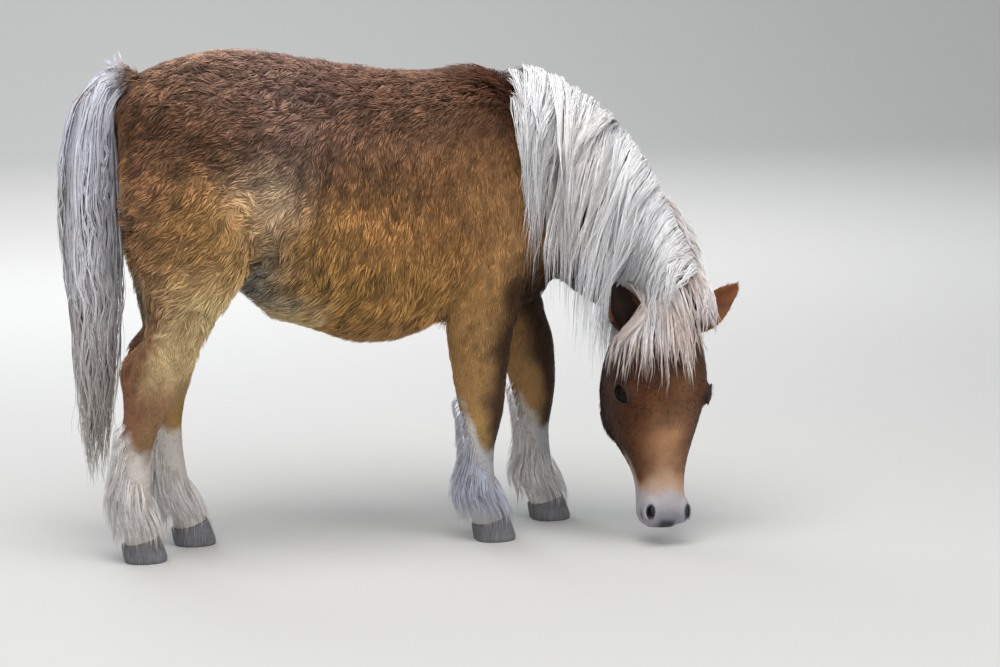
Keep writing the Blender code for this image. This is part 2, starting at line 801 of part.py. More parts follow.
def mane_locks(neck, bodies, neighbours):
    """Locks in two layers, rooted along the crest, that fall over the right side of the neck."""
    rng = random.Random(11)
    sections = neck_sections()
    trees = surface_tree(bodies)
    pieces = make_collection("mane_pieces")
    count = 23
    for index in range(count):
        share = 0.20 + 0.73 * (index + 0.5) / count
        crest, up, ahead = crest_at(sections, share)
        right = ahead.cross(up)
        over = index % 2
        root = crest - up * (0.040 - 0.026 * over) + right * (0.030 - 0.018 * over)
        shorter = 1.0 - 0.40 * max(0.0, (0.38 - share) / 0.18) - 0.22 * max(0.0, (share - 0.75) / 0.21)
        reach = MANE_LENGTH * shorter * rng.uniform(0.90, 1.06)
        start = up * (0.20 + 0.28 * over) + right * 0.80
        points, out = drape(root, start, reach, 7, 0.012 + 0.011 * over, 0.52, trees, MANE_FALL)
        lock("mane", points, out, rng.uniform(0.046, 0.050), 0.0034, pieces)
    trim_locks(pieces, neighbours)
    fuse(neck, pieces)


def forelock_locks(head, bodies, neighbours):
    """Locks that fan from the poll over the forehead."""
    rng = random.Random(23)
    trees = surface_tree(bodies)
    pieces = make_collection("forelock_pieces")
    count = 12
    for index in range(count):
        turn = 2 * (index + 0.5) / count - 1
        over = index % 2
        root = head_point(0.020 - 0.014 * over + 0.014 * turn ** 2, turn * 0.048, -0.020 - 0.024 * over)
        start = HEAD_LEFT * turn * 0.85 + HEAD_FRONT * (0.8 + 0.2 * over) - HEAD_DOWN * (0.1 + 0.4 * over)
        reach = FORELOCK_LENGTH * (1 - 0.15 * abs(turn)) * rng.uniform(0.92, 1.06)
        points, out = drape(root, start, reach, 6, 0.010 + 0.010 * over, 0.42, trees)
        lock("forelock", points, out, rng.uniform(0.038, 0.044), 0.0034, pieces)
    trim_locks(pieces, neighbours)
    fuse(head, pieces)


def tail_solid(group):
    rows = [(*middle, half_depth, half_width) for middle, half_depth, half_width in TAIL_CORE]
    smooth = catmull(rows, 2)
    rings = []
    for index, row in enumerate(smooth):
        here = Vector(row[0:3])
        ahead = Vector(smooth[min(index + 1, len(smooth) - 1)][0:3]) - Vector(smooth[max(index - 1, 0)][0:3])
        side = Vector((0, 1, 0))
        up = side.cross(ahead).normalized()
        rings.append(oval(here, up, side, row[3], row[3], row[4], 2.0, 12))
    return loft("tail", rings, group)


def tail_locks(tail, bodies, neighbours):
    """Locks from the dock down to the hocks, each a length of hair lying over the ones below."""
    rng = random.Random(37)
    trees = surface_tree(bodies)
    pieces = make_collection("tail_pieces")
    rows = [(middle[2], middle[0], depth, width) for middle, depth, width in TAIL_CORE[2:]]
    tiers = [(0.93, 5, 0.36, 0.010), (0.78, 6, 0.38, 0.014), (0.62, 5, 0.36, 0.009), (0.48, 5, 0.30, 0.005)]
    for tier, (height, count, length, clearance) in enumerate(tiers):
        for index in range(count):
            angle = 2 * math.pi * (index + 0.5 * (tier % 2) + rng.uniform(-0.15, 0.15)) / count
            level = height + rng.uniform(-0.02, 0.02)
            _, x, half_depth, half_width = read_rows(rows, level)
            out = Vector((math.cos(angle), math.sin(angle), 0.0))
            root = Vector((x + out.x * half_depth * 0.3, out.y * half_width * 0.3, level))
            reach = min(length * rng.uniform(0.92, 1.06), level - TAIL_END)
            start = out * 0.25 + Vector((0, 0, -0.9))
            keep_off = clearance + 0.003 * (index % 2)
            points, faces_out = drape(root, start, reach, 6, keep_off, 0.55, trees)
            lock("tail_hair", points, faces_out, rng.uniform(0.038, 0.048), 0.0046, pieces)
    trim_locks(pieces, neighbours)
    fuse(tail, pieces)


def feather_locks(leg, rows, side_sign, bodies, neighbours, seed):
    """Long hair behind and beside the fetlock, down to just above the floor."""
    rng = random.Random(seed)
    trees = surface_tree(bodies)
    pieces = make_collection("feather_pieces")
    tiers = [(0.180, 3, 0.088, 0.9), (0.120, 5, 0.088, 1.7)]
    for height, count, length, spread in tiers:
        _, back, front, apart, half_width = read_rows(rows, height)
        middle = (back + front) / 2
        for index in range(count):
            angle = math.pi + spread * (2 * (index + 0.5) / count - 1)
            out = Vector((math.cos(angle), math.sin(angle), 0.0))
            root = Vector((middle, side_sign * apart, height))
            root += Vector((out.x * (front - back) / 2, out.y * half_width, 0.0)) * 0.75
            start = out * 0.75 + Vector((0, 0, -0.8))
            reach = min(length * rng.uniform(0.9, 1.1), height - 0.018)
            points, faces_out = drape(root, start, reach, 4, 0.006 + 0.003 * (index % 2), 0.4, trees)
            for point in points:
                point.z = max(point.z, 0.006)
            lock("feather", points, faces_out, rng.uniform(0.026, 0.034), 0.0042, pieces)
    trim_locks(pieces, neighbours)
    fuse(leg, pieces)


def centre_on_floor(nodes):
    """Moves every mesh so that the model's box stands on the origin."""
    corners = [vertex.co for node in nodes for vertex in node.data.vertices]
    low = Vector([min(corner[axis] for corner in corners) for axis in range(3)])
    high = Vector([max(corner[axis] for corner in corners) for axis in range(3)])
    shift = Vector((-(low.x + high.x) / 2, -(low.y + high.y) / 2, -low.z))
    for node in nodes:
        node.data.transform(Matrix.Translation(shift))
    print("shift", [round(value, 5) for value in shift])
    print("size", [round(value, 4) for value in high - low])


def build():
    clear_scene()
    group = make_collection("shetland_pony")
    body = body_loft(group)
    whole = copy_object(body, "whole", group)
    neck = part_off(body, neck_region(group), "neck", group)
    head = head_solid(group)
    boolean(neck, grown(head, group), "DIFFERENCE")
    keep_largest(neck)

    legs = {}
    spans = {
        "hind_right": (-0.70, -0.200, 0.575, 0.42),
        "hind_left": (-0.70, -0.200, 0.575, 0.42),
        "front_right": (0.165, 0.420, 0.455, 0.30),
        "front_left": (0.300, 0.530, 0.455, 0.30),
    }
    table = leg_table()
    for name, (x_low, x_high, height, slope) in spans.items():
        side_sign = table[name][1]
        region = leg_region(name, x_low, x_high, side_sign, height, slope, group)
        legs[name] = part_off(body, region, "leg_" + name, group)
    torso = body
    torso.name = "torso"

    hooves = {}
    for name, (rows, side_sign) in table.items():
        hoof = hoof_solid("hoof_" + name, rows, side_sign, group)
        above = coronet_cutter(rows, side_sign, group)
        boolean(hoof, above, "DIFFERENCE", keep=True)
        boolean(legs[name], above, "INTERSECT")
        boolean(legs[name], grown(hoof, group), "DIFFERENCE")
        keep_largest(legs[name])
        hooves[name] = hoof

    head_cut = grown(head, group)
    ear_right = ear_solid("ear_right", head_point(0.030, -0.055, -0.040), head_point(-0.060, -0.106, -0.045),
                          HEAD_FRONT * 0.95 - HEAD_LEFT * 0.30, head_cut, group)
    ear_left = ear_solid("ear_left", head_point(0.022, 0.062, -0.050), head_point(-0.034, 0.184, -0.075),
                         HEAD_FRONT * 0.35 + HEAD_DOWN * 0.9, head_cut, group)
    remove_object(head_cut)
    eyes = []
    for name, side_sign in (("eye_right", -1), ("eye_left", 1)):
        eyes.append(ball(name, eye_centre(side_sign), [EYE_RADIUS] * 3, group, None, 14, 8))

    tail = tail_solid(group)
    boolean(tail, grown(torso, group), "DIFFERENCE")
    keep_largest(tail)

    clear = {node.name: grown(node, group) for node in [torso, neck, head, ear_right, ear_left] + eyes}
    ears = [(ear_right, clear["ear_right"]), (ear_left, clear["ear_left"])]
    under = [whole, head, ear_right, ear_left]
    forelock_locks(head, under, [(neck, clear["neck"]), *ears] + [(eye, clear[eye.name]) for eye in eyes])
    remove_object(clear["head"])
    clear["head"] = grown(head, group)
    mane_locks(neck, under, [(torso, clear["torso"]), (head, clear["head"]), *ears])
    for name, hoof in hooves.items():
        clear["hoof_" + name] = grown(hoof, group)
        clear["leg_" + name] = grown(legs[name], group)
    hind_legs = [(legs[name], clear["leg_" + name]) for name in ("hind_right", "hind_left")]
    tail_locks(tail, [whole, tail], [(torso, clear["torso"]), *hind_legs])
    clear["tail"] = grown(tail, group)
    for seed, (name, (rows, side_sign)) in enumerate(table.items()):
        neighbours = [(hooves[name], clear["hoof_" + name]), (tail, clear["tail"])]
        feather_locks(legs[name], rows, side_sign, [legs[name], hooves[name]], neighbours, seed)
    for spare in [whole, *clear.values()]:
        remove_object(spare)

    nodes = [torso, neck, head, ear_right, ear_left, tail] + eyes
    nodes += [legs[name] for name in table] + [hooves[name] for name in table]
    colours = {"torso": CHESTNUT, "neck": FLAXEN, "head": FACE_RED, "tail": FLAXEN}
    for node in nodes:
        colour = colours.get(node.name, CHESTNUT)
        roughness = 0.85
        if node.name.startswith("leg"):
            colour = STOCKING
        if node.name.startswith("hoof"):
            colour = HORN
            roughness = 0.6
        if node.name.startswith("ear"):
            colour = EAR_BROWN
        if node.name.startswith("eye"):
            colour = EYE_DARK
            roughness = 0.08
        node.data.materials.clear()
        node.data.materials.append(make_material(node.name + "_colour", colour, roughness))
    centre_on_floor(nodes)
    for node in nodes:
        node.data.calc_loop_triangles()
        print(node.name, len(node.data.loop_triangles))
    print("triangles", sum(len(node.data.loop_triangles) for node in nodes))


build()
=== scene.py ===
# Looks of the Shetland pony: one skin with fur, a flaxen mane and tail, eyes and hooves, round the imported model.
import math
import random

import bmesh
import bpy
import numpy as np
from mathutils import Matrix, Vector
from mathutils.bvhtree import BVHTree
from mathutils.kdtree import KDTree


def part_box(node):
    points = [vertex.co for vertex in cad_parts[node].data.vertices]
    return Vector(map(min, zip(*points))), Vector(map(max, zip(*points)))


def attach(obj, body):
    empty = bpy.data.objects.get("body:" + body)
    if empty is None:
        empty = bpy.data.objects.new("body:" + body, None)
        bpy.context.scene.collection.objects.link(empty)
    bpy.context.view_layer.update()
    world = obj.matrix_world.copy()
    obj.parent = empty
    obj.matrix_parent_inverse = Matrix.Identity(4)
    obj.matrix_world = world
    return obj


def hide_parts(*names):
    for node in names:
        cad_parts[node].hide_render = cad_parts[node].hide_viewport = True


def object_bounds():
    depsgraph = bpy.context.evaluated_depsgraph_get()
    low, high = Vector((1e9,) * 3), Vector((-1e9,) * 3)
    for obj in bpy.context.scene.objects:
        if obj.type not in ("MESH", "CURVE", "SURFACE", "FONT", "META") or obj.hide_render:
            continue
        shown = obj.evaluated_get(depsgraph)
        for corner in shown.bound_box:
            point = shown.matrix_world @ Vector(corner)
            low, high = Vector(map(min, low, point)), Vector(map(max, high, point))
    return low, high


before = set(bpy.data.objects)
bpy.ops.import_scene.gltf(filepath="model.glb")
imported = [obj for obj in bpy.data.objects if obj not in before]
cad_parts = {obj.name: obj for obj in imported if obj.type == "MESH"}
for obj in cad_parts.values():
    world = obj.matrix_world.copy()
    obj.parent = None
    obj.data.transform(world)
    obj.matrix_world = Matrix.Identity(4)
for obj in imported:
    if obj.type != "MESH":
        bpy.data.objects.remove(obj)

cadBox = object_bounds()
scene = bpy.context.scene

# The forms below are written from the middle of the pony's chest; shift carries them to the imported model.
hoofLow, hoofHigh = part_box("hoof_front_right")
shift = Vector(((hoofLow.x + hoofHigh.x) / 2 - 0.3035, (hoofLow.y + hoofHigh.y) / 2 + 0.0620, 0.0))
up = Vector((0, 0, 1))


# ---- small helpers

def smoothRows(rows, steps):
    out = []
    last = len(rows) - 1
    for i in range(last):
        a, b, c, d = (np.array(rows[max(i - 1, 0)], float), np.array(rows[i], float),
                      np.array(rows[i + 1], float), np.array(rows[min(i + 2, last)], float))
        for step in range(steps):
            t = step / steps
            out.append(0.5 * (2 * b + (c - a) * t + (2 * a - 5 * b + 4 * c - d) * t ** 2 + (3 * b - a - 3 * c + d) * t ** 3))
    out.append(np.array(rows[last], float))
    return out


def rowAt(rows, key):
    table = np.array(sorted(rows), float)
    return [float(np.interp(key, table[:, 0], table[:, k])) for k in range(table.shape[1])]


def ovalRing(centre, along, side, rise, drop, half, square=2.0, points=28):
    ring = []
    for i in range(points):
        angle = 2 * math.pi * i / points
        s = math.copysign(abs(math.sin(angle)) ** (2 / square), math.sin(angle))
        c = math.copysign(abs(math.cos(angle)) ** (2 / square), math.cos(angle))
        ring.append(centre + along * c * (rise if c > 0 else drop) + side * s * half)
    return ring


def addLoft(bm, rings):
    loops = []
    for ring in rings:
        verts = [bm.verts.new(p) for p in ring]
        loops.append([bm.edges.new((verts[i], verts[(i + 1) % len(verts)])) for i in range(len(verts))])
    for low, high in zip(loops, loops[1:]):
        bmesh.ops.bridge_loops(bm, edges=low + high)
    for end in (loops[0], loops[-1]):
        bmesh.ops.contextual_create(bm, geom=end)


def addBall(bm, centre, radii, turn=None, segments=24, rings=14):
    made = bmesh.ops.create_uvsphere(bm, u_segments=segments, v_segments=rings, radius=1.0)
    place = Matrix.Translation(centre) @ (turn or Matrix.Identity(3)).to_4x4() @ Matrix.Diagonal((*radii, 1))
    bmesh.ops.transform(bm, matrix=place, verts=made["verts"])


def meshObject(name, bm):
    bmesh.ops.recalc_face_normals(bm, faces=bm.faces)
    mesh = bpy.data.meshes.new(name)
    bm.to_mesh(mesh)
    bm.free()
    obj = bpy.data.objects.new(name, mesh)
    scene.collection.objects.link(obj)
    return obj


def bakeModifiers(obj):
    bpy.context.view_layer.update()
    mesh = bpy.data.meshes.new_from_object(obj.evaluated_get(bpy.context.evaluated_depsgraph_get()))
    obj.modifiers.clear()
    old = obj.data
    obj.data = mesh
    bpy.data.meshes.remove(old)


def voxelSkin(obj, voxel, rounds):
    remesh = obj.modifiers.new("remesh", "REMESH")
    remesh.mode = "VOXEL"
    remesh.voxel_size = voxel
    soft = obj.modifiers.new("soft", "SMOOTH")
    soft.factor = 0.5
    soft.iterations = rounds
    bakeModifiers(obj)


def thinTo(obj, triangles):
    obj.data.calc_loop_triangles()
    thin = obj.modifiers.new("thin", "DECIMATE")
    thin.ratio = min(1.0, triangles / len(obj.data.loop_triangles))
    bakeModifiers(obj)


def combine(obj, other, operation):
    cut = obj.modifiers.new("combine", "BOOLEAN")
    cut.operation = operation
    cut.solver = "MANIFOLD"
    cut.object = other
    bakeModifiers(obj)
    bpy.data.objects.remove(other, do_unlink=True)


def joinMeshes(obj, others):
    bm = bmesh.new()
    bm.from_mesh(obj.data)
    for other in others:
        bm.from_mesh(other.data)
        bpy.data.objects.remove(other, do_unlink=True)
    bm.to_mesh(obj.data)
    bm.free()


def readPoints(obj):
    flat = np.empty(len(obj.data.vertices) * 3, np.float32)
    obj.data.vertices.foreach_get("co", flat)
    return flat.reshape(-1, 3).astype(float)


def writePoints(obj, points):
    obj.data.vertices.foreach_set("co", points.astype(np.float32).ravel())
    obj.data.update()


def readNormals(obj):
    flat = np.empty(len(obj.data.vertices) * 3, np.float32)
    obj.data.vertices.foreach_get("normal", flat)
    return flat.reshape(-1, 3).astype(float)


def readTriangles(obj):
    obj.data.calc_loop_triangles()
    flat = np.empty(len(obj.data.loop_triangles) * 3, np.int32)
    obj.data.loop_triangles.foreach_get("vertices", flat)
    return flat.reshape(-1, 3)


def unit(v):
    return v / np.maximum(np.linalg.norm(v, axis=-1, keepdims=True), 1e-9)


def smooth01(x, low, high):
    t = np.clip((x - low) / (high - low), 0, 1)
    return t * t * (3 - 2 * t)


def waveNoise(p, scale, seed, layers=3):  # smooth repeatable noise from crossed waves, about -1 to 1
    rng = np.random.default_rng(seed)
    total = np.zeros(len(p))
    for layer in range(layers):
        for _ in range(4):
            direction = unit(rng.normal(size=3))
            total += np.sin(p @ direction * scale * (1.7 ** layer) + rng.uniform(0, 6.28)) / (1.6 ** layer) * 0.35
    return total


# ---- the body's sections, as far out as the tips of the coat

trunk = {
    "sections": [  # x, top, bottom, half width, height of the widest place
        (-0.462, 0.905, 0.760, 0.060, 0.50), (-0.445, 0.940, 0.700, 0.105, 0.55), (-0.415, 0.972, 0.645, 0.145, 0.58),
        (-0.370, 0.996, 0.605, 0.172, 0.60), (-0.315, 1.014, 0.580, 0.190, 0.58), (-0.260, 1.024, 0.558, 0.200, 0.55),
        (-0.200, 1.025, 0.522, 0.212, 0.50), (-0.140, 1.018, 0.471, 0.228, 0.46), (-0.060, 1.006, 0.441, 0.243, 0.44),
        (0.010, 0.993, 0.418, 0.249, 0.44), (0.080, 0.983, 0.415, 0.243, 0.45), (0.140, 0.978, 0.428, 0.228, 0.47),
        (0.200, 0.976, 0.452, 0.207, 0.48), (0.260, 0.976, 0.470, 0.190, 0.48), (0.320, 0.962, 0.478, 0.176, 0.46),
        (0.370, 0.915, 0.484, 0.160, 0.44), (0.410, 0.840, 0.500, 0.135, 0.44), (0.437, 0.745, 0.535, 0.095, 0.45),
        (0.448, 0.680, 0.590, 0.045, 0.45)],
    "coatDepth": 0.013,
}

neck = {
    "sections": [  # crest x y z, throat x y z, half width
        (0.200, 0.000, 0.945, 0.370, 0.000, 0.515, 0.150), (0.290, 0.000, 0.962, 0.425, 0.000, 0.520, 0.142),
        (0.370, 0.000, 0.953, 0.452, 0.000, 0.530, 0.128), (0.452, 0.000, 0.921, 0.472, 0.000, 0.525, 0.114),
        (0.536, -0.003, 0.874, 0.500, 0.000, 0.505, 0.103), (0.611, -0.012, 0.802, 0.532, 0.004, 0.482, 0.095),
        (0.668, -0.028, 0.722, 0.564, 0.010, 0.462, 0.089), (0.713, -0.052, 0.645, 0.592, 0.012, 0.445, 0.083),
        (0.734, -0.086, 0.582, 0.618, 0.010, 0.425, 0.078), (0.716, -0.120, 0.535, 0.630, 0.000, 0.405, 0.072)],
    "coatDepth": 0.011,
}

legs = {
    "hind": [  # height, back, front, distance from the middle, half width
        (0.860, -0.440, -0.250, 0.100, 0.075), (0.790, -0.476, -0.205, 0.110, 0.100), (0.720, -0.478, -0.190, 0.117, 0.106),
        (0.660, -0.458, -0.188, 0.122, 0.100), (0.600, -0.438, -0.205, 0.122, 0.088), (0.550, -0.430, -0.236, 0.116, 0.074),
        (0.500, -0.424, -0.274, 0.107, 0.061), (0.455, -0.430, -0.297, 0.099, 0.050), (0.415, -0.470, -0.312, 0.093, 0.045),
        (0.380, -0.477, -0.328, 0.090, 0.044), (0.340, -0.472, -0.350, 0.088, 0.043), (0.300, -0.472, -0.374, 0.085, 0.039),
        (0.250, -0.480, -0.396, 0.081, 0.036), (0.200, -0.484, -0.404, 0.077, 0.036), (0.155, -0.488, -0.407, 0.074, 0.040),
        (0.120, -0.490, -0.406, 0.071, 0.043), (0.090, -0.484, -0.400, 0.069, 0.043), (0.064, -0.474, -0.393, 0.068, 0.042),
        (0.030, -0.474, -0.386, 0.068, 0.041)],
    "front": [
        (0.720, 0.225, 0.395, 0.108, 0.060), (0.640, 0.190, 0.395, 0.114, 0.066), (0.560, 0.182, 0.370, 0.112, 0.067),
        (0.500, 0.183, 0.352, 0.106, 0.062), (0.450, 0.188, 0.340, 0.100, 0.057), (0.405, 0.195, 0.335, 0.094, 0.052),
        (0.360, 0.202, 0.331, 0.088, 0.047), (0.310, 0.212, 0.328, 0.083, 0.043), (0.275, 0.220, 0.325, 0.080, 0.042),
        (0.240, 0.227, 0.317, 0.077, 0.041), (0.205, 0.231, 0.309, 0.074, 0.037), (0.170, 0.232, 0.307, 0.071, 0.036),
        (0.140, 0.228, 0.309, 0.068, 0.040), (0.110, 0.223, 0.315, 0.066, 0.043), (0.085, 0.229, 0.325, 0.064, 0.043),
        (0.060, 0.242, 0.336, 0.063, 0.042), (0.030, 0.254, 0.346, 0.062, 0.041)],
    # the far legs stand further ahead: height, step, narrowing
    "hindStep": [(0.86, 0.0, 0.0), (0.60, 0.000, 0.0), (0.50, 0.010, 0.0), (0.42, 0.030, 0.0), (0.34, 0.050, 0.004),
                 (0.25, 0.074, 0.008), (0.15, 0.092, 0.012), (0.03, 0.116, 0.014)],
    "frontStep": [(0.72, 0.010, 0.0), (0.56, 0.060, 0.0), (0.50, 0.100, 0.0), (0.42, 0.140, -0.004), (0.34, 0.158, -0.012),
                  (0.25, 0.160, -0.020), (0.15, 0.168, -0.028), (0.03, 0.164, -0.034)],
    "coatDepth": 0.007,
}


def stepAhead(rows, steps):
    out = []
    for height, back, front, apart, half in rows:
        _, ahead, narrower = rowAt(steps, height)
        out.append((height, back + ahead, front + ahead, apart - narrower, half))
    return out


legRows = {
    "hind_right": (legs["hind"], -1), "hind_left": (stepAhead(legs["hind"], legs["hindStep"]), 1),
    "front_right": (legs["front"], -1), "front_left": (stepAhead(legs["front"], legs["frontStep"]), 1),
}

# Head: the line down the face from the poll to the end of the nose
poll = Vector((0.655, -0.150, 0.505))
noseEnd = Vector((0.634, -0.245, 0.044))
headDown = (noseEnd - poll).normalized()
headFront = Vector((0.096, -0.995, 0.0))
headFront = (headFront - headDown * headFront.dot(headDown)).normalized()
headLeft = headFront.cross(headDown).normalized()
headTurn = Matrix((headLeft, headFront, headDown)).transposed()

head = {
    "sections": [  # distance down the face, face line, underside, half width, place of the widest, squareness
        (-0.012, -0.022, -0.098, 0.042, -0.060, 2.0), (0.008, -0.006, -0.125, 0.062, -0.058, 2.1),
        (0.045, 0.008, -0.160, 0.080, -0.056, 2.2), (0.095, 0.017, -0.192, 0.096, -0.060, 2.4),
        (0.145, 0.019, -0.212, 0.105, -0.062, 2.5), (0.190, 0.013, -0.218, 0.107, -0.070, 2.5),
        (0.235, 0.004, -0.209, 0.099, -0.088, 2.5), (0.275, -0.004, -0.184, 0.086, -0.090, 2.5),
        (0.315, -0.007, -0.152, 0.069, -0.078, 2.5), (0.350, -0.006, -0.129, 0.057, -0.066, 2.4),
        (0.385, -0.003, -0.116, 0.052, -0.060, 2.3), (0.415, 0.000, -0.110, 0.053, -0.055, 2.3),
        (0.440, -0.004, -0.106, 0.054, -0.054, 2.3), (0.458, -0.016, -0.098, 0.046, -0.056, 2.2),
        (0.470, -0.034, -0.082, 0.028, -0.058, 2.0)],
    "coatDepth": 0.0035,
    "eyeAlong": 0.192, "eyeSide": 0.0855, "eyeBack": 0.034, "eyeRadius": 0.0228,
    "nostrilAlong": 0.437, "nostrilSide": 0.0405,
    "lid": 0.0030, "opening": (0.0238, 0.0152, 0.0120),  # lid thickness; half length of the eye, height above, depth below
    "voxel": 0.0021,
}


def headPoint(along, side, front):
    return poll + headDown * along + headLeft * side + headFront * front


def eyeCentre(side):
    return headPoint(head["eyeAlong"], side * head["eyeSide"], -head["eyeBack"])


def eyeFrame(side):  # the way the eye looks, the way its upper lid lies, and its long axis towards the nose
    out = (headLeft * side * 0.84 + headFront * 0.50 + headDown * 0.16).normalized()
    lift = headFront * 0.92 - headDown * 0.30
    lift = (lift - out * lift.dot(out)).normalized()
    long = headDown - out * headDown.dot(out)
    long = (long - lift * long.dot(lift)).normalized()
    return out, lift, long


def bodyPiece():
    bm = bmesh.new()
    inset = trunk["coatDepth"]
    rings = []
    for x, top, bottom, half, widest in smoothRows(trunk["sections"], 3):
        middle = bottom + (top - bottom) * widest
        spot = Vector((min(max(x, -0.462 + inset), 0.448 - inset), 0, middle))
        rings.append(ovalRing(spot, up, Vector((0, 1, 0)), top - middle - inset, middle - bottom - inset,
                              max(half - inset, 0.02), 2.15))
    addLoft(bm, rings)
    inset = neck["coatDepth"]
    rows = [(Vector(r[0:3]), Vector(r[3:6]), r[6]) for r in smoothRows(neck["sections"], 3)]
    middles = [(crest + throat) / 2 for crest, throat, _ in rows]
    rings = []
    for i, (crest, throat, half) in enumerate(rows):
        ahead = middles[min(i + 1, len(rows) - 1)] - middles[max(i - 1, 0)]
        rise = (crest - throat).normalized()
        reach = (crest - throat).length / 2 - inset
        rings.append(ovalRing(middles[i], rise, rise.cross(ahead).normalized(), reach, reach, half - inset, 2.1))
    addLoft(bm, rings)
    addBall(bm, Vector((0.682, -0.086, 0.500)), (0.066, 0.066, 0.074))  # the round end of the neck behind the poll
    inset = legs["coatDepth"]
    for rows, side in legRows.values():
        rings = []
        for height, back, front, apart, half in smoothRows(rows, 3):
            deep = inset + (trunk["coatDepth"] - inset) * float(smooth01(height, 0.42, 0.62))
            rings.append(ovalRing(Vector(((back + front) / 2, side * apart, height)), Vector((1, 0, 0)), Vector((0, 1, 0)),
                                  (front - back) / 2 - deep, (front - back) / 2 - deep, half - deep, 2.15, 24))
        addLoft(bm, rings)
    body = meshObject("body", bm)
    voxelSkin(body, 0.0055, 9)
    return body


def arcRing(centre, across, lift, wide, high, thick, start, end, steps=14):  # a bent tapering bar, such as a lid
    out = across.cross(lift).normalized()
    rings = []
    for i in range(steps + 1):
        angle = start + (end - start) * i / steps
        spot = centre + across * math.cos(angle) * wide + lift * math.sin(angle) * high
        ahead = (lift * math.cos(angle) * high - across * math.sin(angle) * wide).normalized()
        girth = thick * (0.35 + 0.65 * math.sin(math.pi * i / steps))
        rings.append(ovalRing(spot, out, ahead.cross(out), girth, girth, girth, 2.0, 10))
    return rings


ears = {
    # base, tip, the way the cup opens, all from the poll along the head's own axes
    "right": ((0.056, -0.070, -0.046), (-0.036, -0.098, -0.060), headFront * 0.95 - headLeft * 0.25),
    "left": ((0.040, 0.070, -0.050), (-0.036, 0.192, -0.074), headFront * 0.95 + headDown * 0.30),
    "width": 0.066, "thickness": 0.0048, "roll": 0.80,
}


def earPiece(name):
    base, tip, opening = ears[name]
    base, tip = headPoint(*base), headPoint(*tip)
    along = (tip - base).normalized()
    out = (opening - along * opening.dot(along)).normalized()
    side = along.cross(out)
    bm = bmesh.new()
    bmesh.ops.create_grid(bm, x_segments=22, y_segments=26, size=1.0)
    for vert in bm.verts:  # a flat sheet rolled into a pointed cup
        share = (vert.co.y + 1) / 2
        breadth = ears["width"] * math.sin(math.pi * (0.22 + 0.765 * share)) ** 0.62
        turn = vert.co.x * math.pi / 2 * (1.45 - 0.75 * share) * ears["roll"]
        spot = base + along * share * (tip - base).length + side * math.sin(turn) * breadth / 2
        spot += out * ((1 - math.cos(turn)) * breadth / 2 * 0.9 + 0.007 * share ** 2 - 0.006)
        vert.co = spot
    ear = meshObject("ear", bm)
    wall = ear.modifiers.new("wall", "SOLIDIFY")
    wall.thickness = ears["thickness"]
    wall.offset = 0.0
    bakeModifiers(ear)
    return ear


